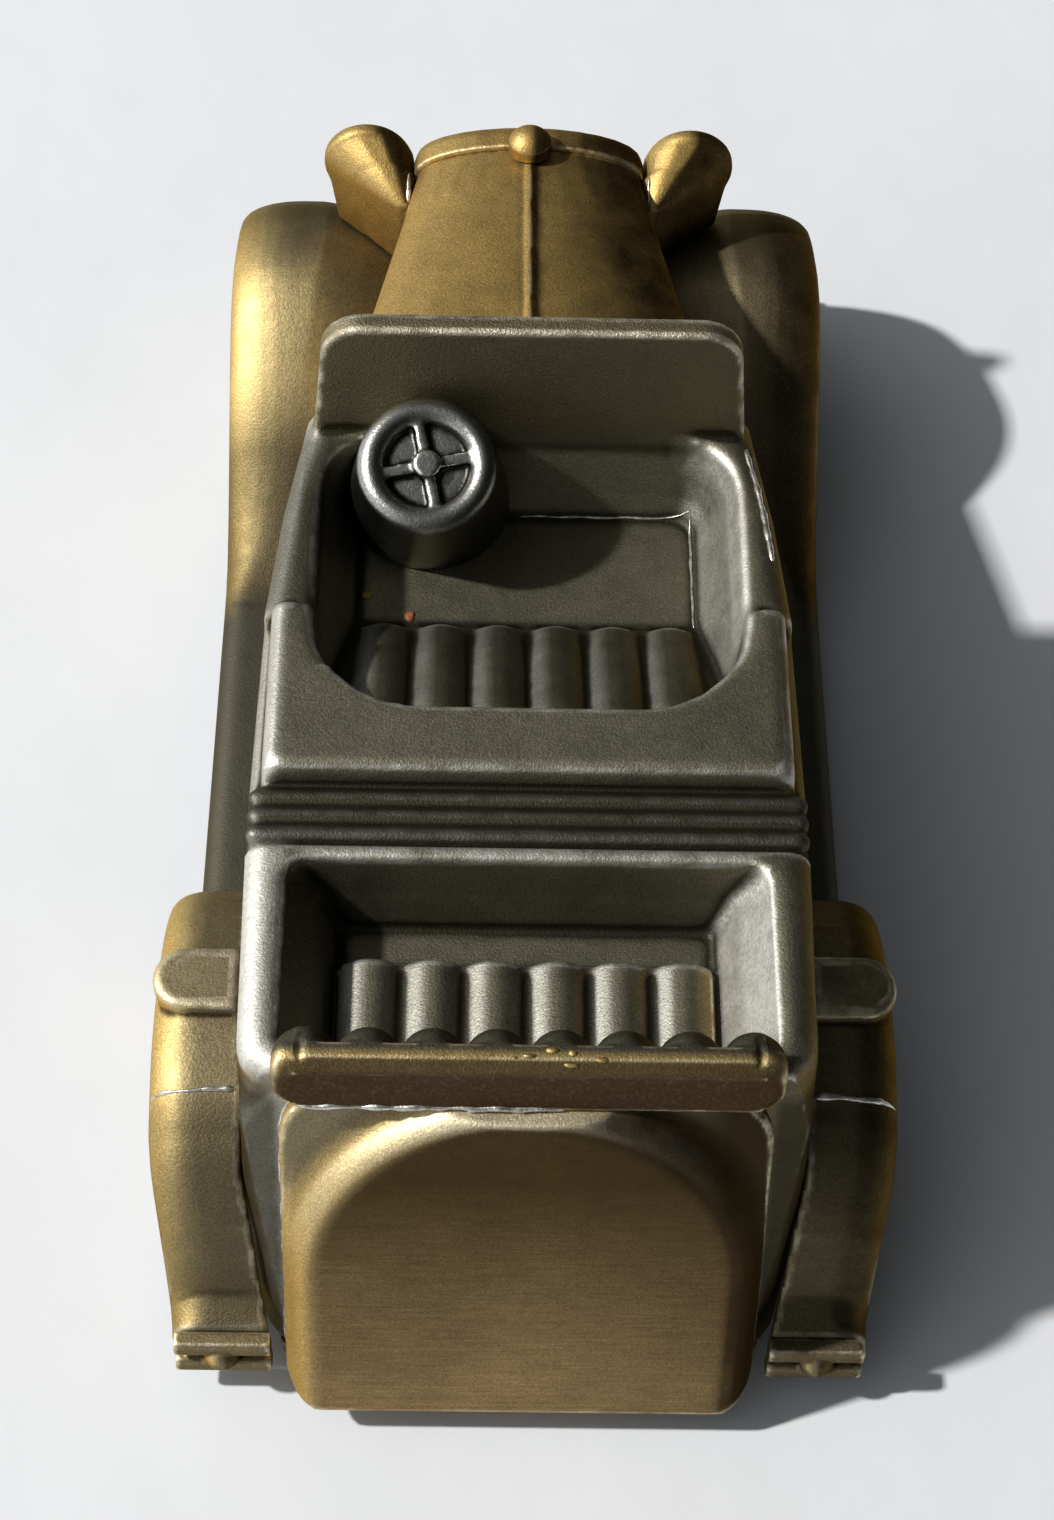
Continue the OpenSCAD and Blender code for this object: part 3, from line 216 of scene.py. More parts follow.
castings = {  # voxel in mm, smoothing rounds, share of faces kept, finish, slot, body
    "body_shell": ("bodyCasting", 0.36, 9, 0.36, "pewter", "pewter_bronze", "castings"),
    "bonnet": ("bonnetCasting", 0.30, 8, 0.45, "bonnetBronze", "antique_bronze", "castings"),
    "radiator_shell": ("radiatorCasting", 0.26, 4, 0.6, "bonnetBronze", "antique_bronze", "castings"),
    "radiator_cap": ("radiatorCap", 0.2, 4, 0.8, "bonnetBronze", "antique_bronze", "castings"),
    "steering_wheel": ("steeringWheelBoss", 0.24, 4, 0.8, "steering", "pewter_bronze", "castings"),
    "rumble_seat_back": ("seatBack", 0.26, 5, 0.8, "seatBronze", "antique_bronze", "castings"),
    "spare_wheel_cover": ("spareCover", 0.34, 8, 0.7, "cover", "cover_bronze", "castings"),
    "left_fender": ("leftFender", 0.36, 6, 0.5, "fenderBronze", "antique_bronze", "castings"),
    "right_fender": ("rightFender", 0.36, 6, 0.5, "fenderBronze", "antique_bronze", "castings"),
    "left_headlamp": ("leftLamp", 0.22, 12, 0.8, "bonnetBronze", "antique_bronze", "castings"),
    "right_headlamp": ("rightLamp", 0.22, 12, 0.8, "bonnetBronze", "antique_bronze", "castings"),
    "front_bumper": ("frontBumper", 0.25, 3, 0.6, "fenderBronze", "antique_bronze", "castings"),
    "left_rear_bumper": ("leftRearBumper", 0.2, 3, 0.8, "fenderBronze", "antique_bronze", "castings"),
    "right_rear_bumper": ("rightRearBumper", 0.2, 3, 0.8, "fenderBronze", "antique_bronze", "castings"),
    "front_left_wheel": ("frontLeftWheel", 0.25, 3, 0.6, "wheelBronze", "wheel_bronze", "front_wheels"),
    "front_right_wheel": ("frontRightWheel", 0.25, 3, 0.6, "wheelBronze", "wheel_bronze", "front_wheels"),
    "rear_left_wheel": ("rearLeftWheel", 0.25, 3, 0.6, "wheelBronze", "wheel_bronze", "rear_wheels"),
    "rear_right_wheel": ("rearRightWheel", 0.25, 3, 0.6, "wheelBronze", "wheel_bronze", "rear_wheels"),
}
screen = {"name": "windscreenPlate", "joint": 0.4, "sink": 1.5, "behind": 3}  # above the belt line, in mm
pieces = {}


def takenOver(piece, nodes, body):
    pieces[piece.name] = piece
    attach(piece, body)
    for node in nodes:
        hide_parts(node)


def closeHole(obj):
    def job():
        bpy.ops.mesh.select_mode(type="EDGE")
        bpy.ops.mesh.select_all(action="DESELECT")
        bpy.ops.mesh.select_non_manifold(extend=False, use_wire=False, use_boundary=True,
                                         use_multi_face=False, use_non_contiguous=False, use_verts=False)
        bpy.ops.mesh.mark_sharp()
        bpy.ops.mesh.edge_face_add()
        bpy.ops.mesh.select_mode(type="FACE")
    inEditMode(obj, job)


def bodyAndScreen():  # the screen's plate flows into the tub, so both are cast first and parted after
    name, voxel, rounds, share, _, slot, rider = castings["body_shell"]
    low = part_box("windscreen")[0]
    body, plate = copyOfNode(name, "body_shell"), copyOfNode(screen["name"], "windscreen")
    foot = faceCentres(plate)[:, 2] < low[2] / mm + 0.05
    pickFaces(plate, foot)
    pickOnly(plate)
    bpy.ops.object.mode_set(mode="EDIT")
    bpy.ops.transform.translate(value=(0, 0, -screen["sink"] * mm))
    bpy.ops.object.mode_set(mode="OBJECT")
    pickOnly(body, plate)
    bpy.ops.object.join()
    castSkin(body, voxel, rounds, share)
    joint = low[2] + screen["joint"] * mm
    inEditMode(body, lambda: bpy.ops.mesh.bisect(plane_co=(0, 0, joint), plane_no=(0, 0, 1)))
    centres = faceCentres(body)
    pickFaces(body, (centres[:, 2] > joint / mm) & (centres[:, 1] > low[1] / mm - screen["behind"]))
    pickOnly(body)
    bpy.ops.object.mode_set(mode="EDIT")
    bpy.ops.mesh.separate(type="SELECTED")
    bpy.ops.object.mode_set(mode="OBJECT")
    plate = next(obj for obj in bpy.context.selected_objects if obj != body)
    plate.name = screen["name"]
    closeHole(body)
    closeHole(plate)
    takenOver(body, ["body_shell"], rider)
    takenOver(plate, ["windscreen"], rider)


bodyAndScreen()
for node, (name, voxel, rounds, share, _, slot, rider) in castings.items():
    if node != "body_shell":
        piece = copyOfNode(name, node)
        castSkin(piece, voxel, rounds, share)
        takenOver(piece, [node], rider)
print("castings skinned")


class Finish:
    def __init__(self, name):
        self.material = bpy.data.materials.new(name)
        self.material.use_nodes = True
        self.tree = self.material.node_tree
        self.shader = self.tree.nodes["Principled BSDF"]
        self.place = self.add("ShaderNodeTexCoord").outputs["Object"]

    def add(self, kind, links=None, **values):
        node = self.tree.nodes.new(kind)
        for key, value in values.items():
            if hasattr(node, key):
                setattr(node, key, value)
            else:
                node.inputs[key].default_value = value
        for key, source in (links or {}).items():
            self.tree.links.new(source, node.inputs[key])
        return node

    def noise(self, size, detail=3.0, rough=0.55, stretch=None):  # size in mm
        place = self.place
        if stretch:
            place = self.add("ShaderNodeMapping", {"Vector": place}, Scale=stretch).outputs["Vector"]
        return self.add("ShaderNodeTexNoise", {"Vector": place}, Scale=1 / (size * mm),
                        Detail=detail, Roughness=rough).outputs["Fac"]

    def ramp(self, source, low, high, start=0.0, end=1.0):
        node = self.add("ShaderNodeMapRange", {"Value": source})
        for key, value in (("From Min", low), ("From Max", high), ("To Min", start), ("To Max", end)):
            node.inputs[key].default_value = value
        return node.outputs["Result"]

    def math(self, kind, a, b):
        node = self.add("ShaderNodeMath", operation=kind)
        for socket, value in zip(node.inputs, (a, b)):
            if isinstance(value, (int, float)):
                socket.default_value = value
            else:
                self.tree.links.new(value, socket)
        return node.outputs[0]

    def mix(self, share, a, b):
        node = self.add("ShaderNodeMix", data_type="RGBA")
        for key, value in ((0, share), (6, a), (7, b)):
            if isinstance(value, tuple):
                node.inputs[key].default_value = (*value, 1)
            elif isinstance(value, float):
                node.inputs[key].default_value = value
            else:
                self.tree.links.new(value, node.inputs[key])
        return node.outputs[2]

    def mask(self, name):
        return self.add("ShaderNodeAttribute", attribute_name=name).outputs["Fac"]

    def bump(self, height, distance, strength=1.0, under=None):
        links = {"Height": height}
        if under:
            links["Normal"] = under
        return self.add("ShaderNodeBump", links, Distance=distance * mm, Strength=strength).outputs["Normal"]

    def into(self, key, source):
        self.tree.links.new(source, self.shader.inputs[key])


def shade(colour, level):
    return tuple(c * level for c in colour)


finishes = {  # colours by where a face lies, the tops greyer and the sides more golden partly as painted reflection, with a dark patina colour that is also used for painted shade; then how rough and worn, how much painted sheen lies on tops turned left, and how much painted shade on faces turned right
    "pewter": {
        "top": (0.245, 0.230, 0.165), "flank": (0.34, 0.245, 0.105), "hollow": (0.012, 0.011, 0.007),
        "rubbed": (0.84, 0.83, 0.78), "paintedSheen": (0.78, 0.78, 0.72),
        "rough": 0.55, "grain": 0.085, "worn": 0.85, "paintedSheenShare": 0.80, "paintedShade": 0.35},
    "screenPewter": {
        "top": (0.235, 0.200, 0.120), "flank": (0.22, 0.16, 0.07), "hollow": (0.020, 0.016, 0.008),
        "rubbed": (0.88, 0.82, 0.66), "paintedSheen": (0.60, 0.54, 0.38),
        "rough": 0.54, "grain": 0.200, "worn": 0.95, "paintedSheenShare": 0.5, "paintedShade": 0.2},
    "steering": {
        "top": (0.38, 0.38, 0.355), "flank": (0.10, 0.10, 0.085), "hollow": (0.006, 0.006, 0.005),
        "rubbed": (0.92, 0.92, 0.90), "paintedSheen": (0.80, 0.80, 0.78),
        "rough": 0.32, "grain": 0.05, "worn": 1.0, "paintedSheenShare": 0.8, "paintedShade": 0.6},
    "bonnetBronze": {
        "top": (0.64, 0.440, 0.150), "flank": (0.56, 0.350, 0.100), "hollow": (0.020, 0.013, 0.005),
        "rubbed": (0.92, 0.80, 0.52), "paintedSheen": (0.80, 0.60, 0.26),
        "rough": 0.55, "grain": 0.075, "worn": 0.75, "paintedSheenShare": 0.50, "paintedShade": 0.98},
    "fenderBronze": {
        "top": (0.30, 0.250, 0.145), "flank": (0.70, 0.44, 0.120), "hollow": (0.018, 0.012, 0.005),
        "rubbed": (0.94, 0.86, 0.64), "paintedSheen": (0.95, 0.74, 0.33), "board": (0.103, 0.098, 0.076),
        "rough": 0.57, "grain": 0.075, "worn": 0.80, "paintedSheenShare": 0.62, "paintedShade": 0.84},
    "seatBronze": {
        "top": (0.50, 0.375, 0.150), "flank": (0.42, 0.29, 0.110), "hollow": (0.018, 0.010, 0.005),
        "rubbed": (0.90, 0.78, 0.50), "paintedSheen": (0.85, 0.66, 0.32),
        "rear": (0.085, 0.056, 0.034), "rolls": (0.13, 0.125, 0.095),
        "rough": 0.50, "grain": 0.080, "worn": 0.9, "paintedSheenShare": 0.7, "paintedShade": 0.6},
    "cover": {
        "top": (0.32, 0.275, 0.170), "flank": (0.66, 0.42, 0.125), "hollow": (0.020, 0.014, 0.007),
        "rubbed": (0.94, 0.84, 0.60), "paintedSheen": (0.86, 0.66, 0.30),
        "faceLow": (0.50, 0.350, 0.175), "faceHigh": (0.105, 0.070, 0.028),
        "rough": 0.52, "grain": 0.060, "worn": 0.7, "paintedSheenShare": 0.55, "paintedShade": 0.90},
    "wheelBronze": {
        "top": (0.22, 0.155, 0.070), "flank": (0.27, 0.185, 0.080), "hollow": (0.03, 0.020, 0.010),
        "rubbed": (0.76, 0.67, 0.48), "paintedSheen": (0.40, 0.29, 0.13),
        "rough": 0.46, "grain": 0.070, "worn": 0.8, "paintedSheenShare": 0.3, "paintedShade": 0.3},
}
grain = {  # sizes in mm
    "satin": 0.21, "speckle": 0.45, "fine": 0.26, "peel": 1.1, "waves": 6, "patches": 9, "paintedShade": 5,
    "rubbed": 1.7, "edges": 2.8, "strokes": 0.5, "brushed": 0.22, "gloss": 2.6,
}
strength = {  # how much of each coat covers the tone under it
    "patches": 0.20, "satin": 0.46, "speckle": 0.11, "sunk": 0.88, "rubbed": 0.30, "brushed": 0.30,
    "board": 0.96,
}
metal = {"metallic": 0.95, "tint": (0.45, 0.40, 0.30, 1), "spread": 0.05, "edges": 0.10, "face": 0.12}
coverFades = {"right": (8, 19), "face": (8, 36)}  # across to the right for the painted shade, and up the face, in mm
boardFades = {"front": (22, 17), "rear": (-31, -27), "top": (20, 15)}  # along the car and in height, in mm


def layered(m, tone, share, coat, level=1.0):  # a coat of colour over the tone, by share times level
    if level != 1.0:
        share = m.math("MULTIPLY", share, level)
    return m.mix(share, tone, coat)


def faded(m, across, fade):  # from 0 to 1 between two places, in mm
    return m.ramp(across, fade[0] * mm, fade[1] * mm)


def coverTone(m, look, tone):  # bare shoulder whose upward crest is partly rubbed metal and partly a painted highlight, painted shade darkening the right side, and a brushed face that is paler low down
    spot = m.add("ShaderNodeSeparateXYZ", {"Vector": m.place}).outputs
    # the shoulder's upward crest: partly rubbed metal, partly a painted highlight
    crest = m.math("MULTIPLY", m.mask("shoulder"), m.ramp(m.mask("upward"), 0.62, 0.86))
    tone = layered(m, tone, m.mask("shoulder"), look["flank"])
    tone = layered(m, tone, crest, look["rubbed"])
    # painted shade towards the cover's right side
    tone = layered(m, tone, faded(m, spot["X"], coverFades["right"]), shade(look["hollow"], 2))
    face = m.mix(faded(m, spot["Z"], coverFades["face"]), look["faceLow"], look["faceHigh"])
    brushed = m.ramp(m.noise(grain["brushed"], 3, 0.6, (0.04, 1, 1)), 0.35, 0.65)
    face = layered(m, face, brushed, shade(look["hollow"], 3), strength["brushed"])
    return layered(m, tone, m.mask("face"), face)


def boardTone(m, look, tone):  # the running boards are greyer than the rest of the fenders
    spot = m.add("ShaderNodeSeparateXYZ", {"Vector": m.place}).outputs
    front, rear = (faded(m, spot["Y"], boardFades[end]) for end in ("front", "rear"))
    board = m.math("MULTIPLY", m.math("MULTIPLY", front, rear), faded(m, spot["Z"], boardFades["top"]))
    return layered(m, tone, board, look["board"], strength["board"])


def castFinish(name, look):
    m = Finish(name)
    hollow, rubbed = look["hollow"], look["rubbed"]
    # tops greyer and outward sides more golden: partly the finish's two tones, partly painted reflection of
    # the sky above and the light at the side
    tone = m.mix(m.ramp(m.mask("flank"), 0.25, 0.65), look["top"], look["flank"])
    if name == "cover":
        tone = coverTone(m, look, tone)
    # faces of the seat back turned backwards take a darker brown: partly their own tone, partly painted shade
    if name == "seatBronze":
        tone = layered(m, tone, m.mask("rear"), look["rear"])
    patches = m.ramp(m.noise(grain["patches"], 4), 0.35, 0.65)
    tone = layered(m, tone, patches, shade(hollow, 3.5), strength["patches"])
    lee = m.mask("lee")
    uneven = m.ramp(m.noise(grain["paintedShade"], 4), 0.3, 0.7, 0.75, 1.0)
    # painted sheen: upward faces turned to the left, towards the light, take a brighter colour
    onTop = m.math("MULTIPLY", uneven, m.ramp(m.mask("upward"), 0.53, 0.67))
    paintedSheen = m.math("MULTIPLY", m.ramp(lee, 0.44, 0.26), onTop)
    tone = layered(m, tone, paintedSheen, look["paintedSheen"], look["paintedSheenShare"])
    if name == "seatBronze":
        tone = layered(m, tone, m.mask("rolls"), look["rolls"])
    # painted shade: faces turned to the right, away from the light, are darkened with the patina colour
    kept = m.math("MULTIPLY", m.ramp(lee, 0.505, 0.63), uneven)
    tone = layered(m, tone, kept, shade(hollow, 1.6), look["paintedShade"])
    satin = m.ramp(m.noise(grain["satin"], 2, 0.6), 0.32, 0.68)
    tone = layered(m, tone, satin, shade(hollow, 2.0), strength["satin"])
    if name != "cover":
        speckle = m.ramp(m.noise(grain["speckle"], 4, 0.7), 0.52, 0.78)
        tone = layered(m, tone, speckle, shade(rubbed, 0.75), strength["speckle"])
    sunk = m.ramp(m.mask("sunk"), 0.12, 0.85)
    tone = layered(m, tone, sunk, hollow, strength["sunk"])
    rubs = m.ramp(m.noise(grain["rubbed"], 5, 0.65), 0.25, 0.75)
    broad = m.math("MULTIPLY", m.ramp(m.mask("proud"), 0.50, 1.15), rubs)
    tone = layered(m, tone, broad, rubbed, strength["rubbed"] * look["worn"])
    chips = m.ramp(m.noise(grain["edges"], 4, 0.7), 0.34, 0.60)
    keen = m.math("MULTIPLY", m.ramp(m.mask("keen"), 0.72, 1.15), chips)
    tone = layered(m, tone, keen, rubbed, look["worn"])
    # darkening that is partly painted shade, then bare metal that is partly a painted highlight
    if name in ("pewter", "fenderBronze"):
        tone = layered(m, tone, m.mask("sootAndShade"), shade(finishes["pewter"]["hollow"], 2.5))
        if name == "fenderBronze":
            tone = boardTone(m, look, tone)
        bareAndHighlit = rubbed if name == "pewter" else look["paintedSheen"]
        strokes = m.ramp(m.noise(grain["strokes"], 4, 0.65), 0.10, 0.60)
        tone = layered(m, tone, m.math("MULTIPLY", m.mask("rubAndHighlight"), strokes), bareAndHighlit)
    m.into("Base Color", tone)
    m.shader.inputs["Metallic"].default_value = metal["metallic"]
    m.shader.inputs["Specular Tint"].default_value = metal["tint"]
    matt, shiny = look["rough"] + metal["spread"], look["rough"] - metal["spread"]
    rough = m.ramp(m.noise(grain["gloss"], 5), 0.3, 0.7, shiny, matt)
    rough = m.math("SUBTRACT", rough, m.math("MULTIPLY", keen, metal["edges"]))
    if name == "cover":
        rough = m.math("ADD", rough, m.math("MULTIPLY", m.mask("face"), metal["face"]))
    m.into("Roughness", rough)
    waves = m.bump(m.noise(grain["waves"], 1), 0.10, 0.5)
    peel = m.bump(m.noise(grain["peel"], 2), 0.05, 0.5, waves)
    m.into("Normal", m.bump(m.noise(grain["fine"], 3, 0.65), look["grain"], 0.8, peel))
    return m.material


coverFace = {"lean": 15.5, "flat": 0.5, "shoulder": 2.6}  # degrees, and mm below the face
rollBack = {"behind": 2.1, "soft": 0.5}  # where the seat back's front rolls begin, in mm


def coverMasks():
    obj = pieces["spareCover"]
    lean = math.radians(coverFace["lean"])
    outward = np.array((0, -math.cos(lean), math.sin(lean)))
    out = pointsOf(obj) @ outward / mm
    facing = normalsOf(obj) @ outward
    below = out.max() - out
    addMask(obj, "face", (coverFace["flat"] - below) / 0.35 * (facing > 0.8))
    addMask(obj, "shoulder", (coverFace["shoulder"] - below) / 0.8)


def seatBackMasks():
    obj = pieces["seatBack"]
    ahead = pointsOf(obj)[:, 1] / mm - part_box("rumble_seat_back")[0][1] / mm
    addMask(obj, "rolls", (ahead - rollBack["behind"]) / rollBack["soft"])
    # faces turned backwards, for the darker brown that is partly painted shade
    addMask(obj, "rear", -normalsOf(obj)[:, 1] * 1.6 - 0.5)


def within(values, low, high, soft):  # 1 between low and high, easing out over soft
    return np.minimum((values - low) / soft + 1, (high - values) / soft + 1).clip(0, 1)


sootAndShade = {  # darkening, part of it painted shade: from and to along the car in mm, and how thick
    "ribs": (-37.4, -30.6, 0.84), "doors": (-7, 15, 0.52), "seat": (-30, -4, 0.35), "sides": 0.72,
    "tails": (-95, -59, 0.40), "fronts": (66, 90, 0.45), "sweep": (14, 36, 0.58),
}
rubAndHighlight = {  # bare metal that is partly a painted highlight where it faces the light: from and to along the car in mm
    "deckEdge": (-61, -39), "tubWall": (-9, 14), "wellWall": (-58, -41), "sweep": (42, 52),
    "body": 0.9, "fenders": 0.30,  # how bare and bright
}


def bodyMasks():  # darker over the ribs, on the left door top and down the sides, painted shade on the front seat inside the tub, and bare metal where hands have rubbed, brightened as a painted highlight where it faces left towards the light
    obj = pieces["bodyCasting"]
    x, y, z = (pointsOf(obj) / mm).T
    left = -normalsOf(obj)[:, 0]
    ribs = within(y, *sootAndShade["ribs"][:2], 0.6) * sootAndShade["ribs"][2] * (z > 38)
    doors = within(y, *sootAndShade["doors"][:2], 3) * within(-x, 21.5, 30, 1.5) * (z > 41) * sootAndShade["doors"][2]
    sides = within(abs(x), 24, 40, 1) * within(z, 0, 37.5, 2.5) * sootAndShade["sides"]
    # painted shade on the front seat down inside the tub
    seat = within(y, *sootAndShade["seat"][:2], 1) * within(abs(x), 0, 19, 2) * within(z, 25, 41, 1.5)
    seat = seat * sootAndShade["seat"][2]
    addMask(obj, "sootAndShade", np.max([ribs, doors, sides, seat], axis=0))
    deckEdge = within(y, *rubAndHighlight["deckEdge"], 3) * within(x, -29, -24.2, 0.8) * within(z, 40.5, 50, 1)
    tubWall = within(y, *rubAndHighlight["tubWall"], 3) * within(x, 16, 23, 1) * within(z, 40.5, 44.5, 1.5)
    wellWall = within(y, *rubAndHighlight["wellWall"], 2) * within(x, 14, 24, 1) * within(z, 35, 43.5, 1.5)
    # brighter where the face turns left, towards the light: a painted highlight over the rubbed metal
    bareAndHighlit = [deckEdge * (left + 0.5), tubWall * (left * 2 - 0.2), wellWall * (left * 2 - 0.5)]
    addMask(obj, "rubAndHighlight", np.max(bareAndHighlit, axis=0) * rubAndHighlight["body"])


def fenderMasks():  # darker tails, painted shade on the fronts and the left sweep, and a painted highlight as a bright patch on the left front
    for name in ("leftFender", "rightFender"):
        x, y, z = (pointsOf(pieces[name]) / mm).T
        leftSide = within(-x, 25, 60, 3)
        tails = within(y, *sootAndShade["tails"][:2], 2) * within(abs(x), 0, 35.5, 3) * sootAndShade["tails"][2]
        # painted shade on the fronts and on the left sweep
        fronts = within(y, *sootAndShade["fronts"][:2], 8) * sootAndShade["fronts"][2]
        sweep = within(y, *sootAndShade["sweep"][:2], 6) * leftSide * sootAndShade["sweep"][2]
        addMask(pieces[name], "sootAndShade", np.max([tails, fronts, sweep], axis=0))
        # painted highlight: a bright patch on the left front
        patch = within(y, *rubAndHighlight["sweep"], 6) * leftSide * within(z, 14, 60, 3)
        addMask(pieces[name], "rubAndHighlight", patch * rubAndHighlight["fenders"])


coverMasks()
seatBackMasks()
bodyMasks()
fenderMasks()
materials = {name: castFinish(name, look) for name, look in finishes.items()}
for name, *_, finish, slot, rider in castings.values():
    pieces[name].data.materials.append(materials[finish])
pieces[screen["name"]].data.materials.append(materials["screenPewter"])
print("cast finishes made")

sheetMetal = {  # colour, rubbed colour, metallic, roughness, stretch of the strokes, and their relief in mm
    "plateBronze": ((0.20, 0.155, 0.085), (0.42, 0.38, 0.30), 0.9, 0.38, (1, 0.05, 1), 0.02),
    "turnedSteel": ((0.42, 0.42, 0.41), (0.60, 0.60, 0.59), 1.0, 0.30, (0.05, 1, 1), 0.015),
    "lockBrass": ((0.58, 0.43, 0.18), (0.80, 0.66, 0.38), 1.0, 0.26, (1, 1, 0.05), 0.012),
}
madeOf = {"base_plate": "plateBronze", "trap_door": "plateBronze", "lock_case": "plateBronze",
          "base_screws": "turnedSteel", "trap_hinge_pin": "turnedSteel", "front_axle": "turnedSteel",
          "rear_axle": "turnedSteel", "bar_screw": "turnedSteel", "locking_bar": "turnedSteel",
          "lock_plug": "lockBrass"}


def sheetFinish(name, colour, rubbed, metallic, rough, stretch, relief):
    m = Finish(name)
    stains = m.ramp(m.noise(7, 5, 0.6), 0.35, 0.7)
    tone = m.mix(m.math("MULTIPLY", stains, 0.5), colour, shade(colour, 0.45))
    strokes = m.noise(0.35, 2, 0.6, stretch)
    tone = m.mix(m.math("MULTIPLY", m.ramp(strokes, 0.5, 0.75), 0.35), tone, rubbed)
    scuffs = m.math("MULTIPLY", m.ramp(m.noise(14, 3), 0.52, 0.62), m.ramp(m.noise(0.8, 5, 0.75), 0.5, 0.6))
    tone = m.mix(m.math("MULTIPLY", scuffs, 0.7), tone, rubbed)
    m.into("Base Color", tone)
    m.shader.inputs["Metallic"].default_value = metallic
    m.into("Roughness", m.ramp(m.noise(3, 4), 0.3, 0.7, rough - 0.06, rough + 0.12))
    m.into("Normal", m.bump(strokes, relief, 0.6, m.bump(m.noise(4, 2), 0.04, 0.4)))
    return m.material


for name, look in sheetMetal.items():
    materials[name] = sheetFinish(name, *look)
for node, finish in madeOf.items():
    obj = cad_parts[node]
    obj.data.materials.clear()
    obj.data.materials.append(materials[finish])
print("sheet, steel and brass finished")


def solderFinish():
    m = Finish("solder")
    tone = m.mix(m.ramp(m.noise(0.8, 4, 0.7), 0.35, 0.6), (0.34, 0.32, 0.27), (0.80, 0.79, 0.75))
    m.into("Base Color", tone)
    m.shader.inputs["Metallic"].default_value = 0.9
    m.into("Roughness", m.ramp(m.noise(1.2, 3), 0.3, 0.7, 0.26, 0.46))
    m.into("Normal", m.bump(m.noise(0.3, 3, 0.6), 0.06, 0.8))
    return m.material


materials["solder"] = solderFinish()
bead = {"sides": 7, "tip": 0.5, "end": 0.35, "ragged": 0.8, "lumps": 0.7}  # shares of its radius, lumps in mm
ragged = bpy.data.textures.new("ragged", "CLOUDS")
ragged.noise_scale = bead["lumps"] * mm
rng = random.Random(7)


def castRay(names, origin, direction):  # nearest hit on the named pieces, in mm
    best = None
    for name in names:
        hit, place, _, _ = pieces[name].ray_cast(Vector(origin) * mm, Vector(direction).normalized())
        if hit and (best is None or (place / mm - Vector(origin)).length < (best - Vector(origin)).length):
            best = place / mm
    return best


def solderLine(name, points, radius, uneven=0.45):  # a thin ragged bead through points, in mm
    points = [p for p in points if p is not None]
    if len(points) < 2:
        print("   no room for", name)
        return None
    run = (points[-1] - points[0]).normalized()
    deselectAll()
    turn = run.to_track_quat("Z", "Y").to_euler()
    bpy.ops.mesh.primitive_circle_add(vertices=bead["sides"], radius=radius * bead["tip"] * mm,
                                      fill_type="NGON", location=points[0] * mm, rotation=turn)
    obj = bpy.context.active_object
    obj.name = name
    bpy.ops.object.transform_apply(location=True, rotation=True, scale=True)
    bpy.ops.object.mode_set(mode="EDIT")
    bpy.ops.mesh.select_all(action="SELECT")
    size = bead["tip"]
    for last, point in zip(points, points[1:]):
        bpy.ops.mesh.extrude_region_move(TRANSFORM_OT_translate={"value": (point - last) * mm})
        wanted = bead["end"] if point is points[-1] else 1 + uneven * rng.uniform(-1, 1)
        bpy.ops.transform.resize(value=(wanted / size,) * 3, center_override=point * mm)
        size = wanted
    bpy.ops.mesh.select_all(action="SELECT")
    bpy.ops.mesh.normals_make_consistent(inside=False)
    bpy.ops.object.mode_set(mode="OBJECT")
    applied(obj, "SUBSURF", levels=1, render_levels=1)
    applied(obj, "DISPLACE", texture=ragged, strength=radius * bead["ragged"] * mm, mid_level=0.5)
    bpy.ops.object.shade_smooth()
    obj.data.materials.append(materials["solder"])
    return obj


def between(start, end, step):
    count = max(2, round(abs(end - start) / step) + 1)
    return [start + (end - start) * i / (count - 1) for i in range(count)]


def sideSeam(side, start, end, host, height=40, step=1.4):  # where a fender meets the part inside it
    fender = "leftFender" if side < 0 else "rightFender"
    points = []
    for y in between(start, end, step):
        wall = castRay([host], (side * 60, y, height), (-side, 0, 0))
        top = wall and castRay([fender], (wall.x + side * 0.35, y, 60), (0, 0, -1))
        if top:
            wall = castRay([host], (side * 60, y, top.z + 0.5), (-side, 0, 0)) or wall
            top = castRay([fender], (wall.x + side * 0.3, y, 60), (0, 0, -1)) or top
            points.append(Vector((wall.x + side * 0.12, y, top.z + 0.02)))
    return points


def joined(name, beads):
    beads = [b for b in beads if b]
    pickOnly(*beads)
    if len(beads) > 1:
        bpy.ops.object.join()
    obj = bpy.context.active_object
    obj.name = name
    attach(obj, "castings")
    return obj


seams = {"front": (14, -24), "cowl": (56, 20), "rear": (-27, -66), "cross": -57.3,  # along the car, in mm
         "out": (28.2, 37.5), "wave": 0.12, "radius": 0.26, "crossRadius": 0.32}


def fenderSolder():
    for side, word in ((-1, "left"), (1, "right")):
        fender = word + "Fender"
        cross = []
        for x in between(*seams["out"], 0.7):
            y = seams["cross"] + seams["wave"] * math.sin(x * 0.9)
            cross.append(castRay([fender], (side * x, y, 60), (0, 0, -1)))
        cross = [p for p in cross if p and p.z > 15]
        front = sideSeam(side, *seams["front"], "bodyCasting", 38)
        rear = sideSeam(side, *seams["rear"], "bodyCasting", 36)
        cowl = sideSeam(side, *seams["cowl"], "bonnetCasting", 36)
        beads = [solderLine("bead", front, seams["radius"]),
                 solderLine("bead", rear, seams["radius"] * 1.1),
                 solderLine("bead", cowl, seams["radius"] * 0.7),
                 solderLine("bead", cross, seams["crossRadius"], 0.7)]
        joined(word + "FenderSolder", beads)


fenderSolder()
print("fender seams soldered")

lampSeam = {"radius": 0.34, "across": 14.2, "low": 1.4, "high": 3.4}  # out, and up and down the lamp, in mm


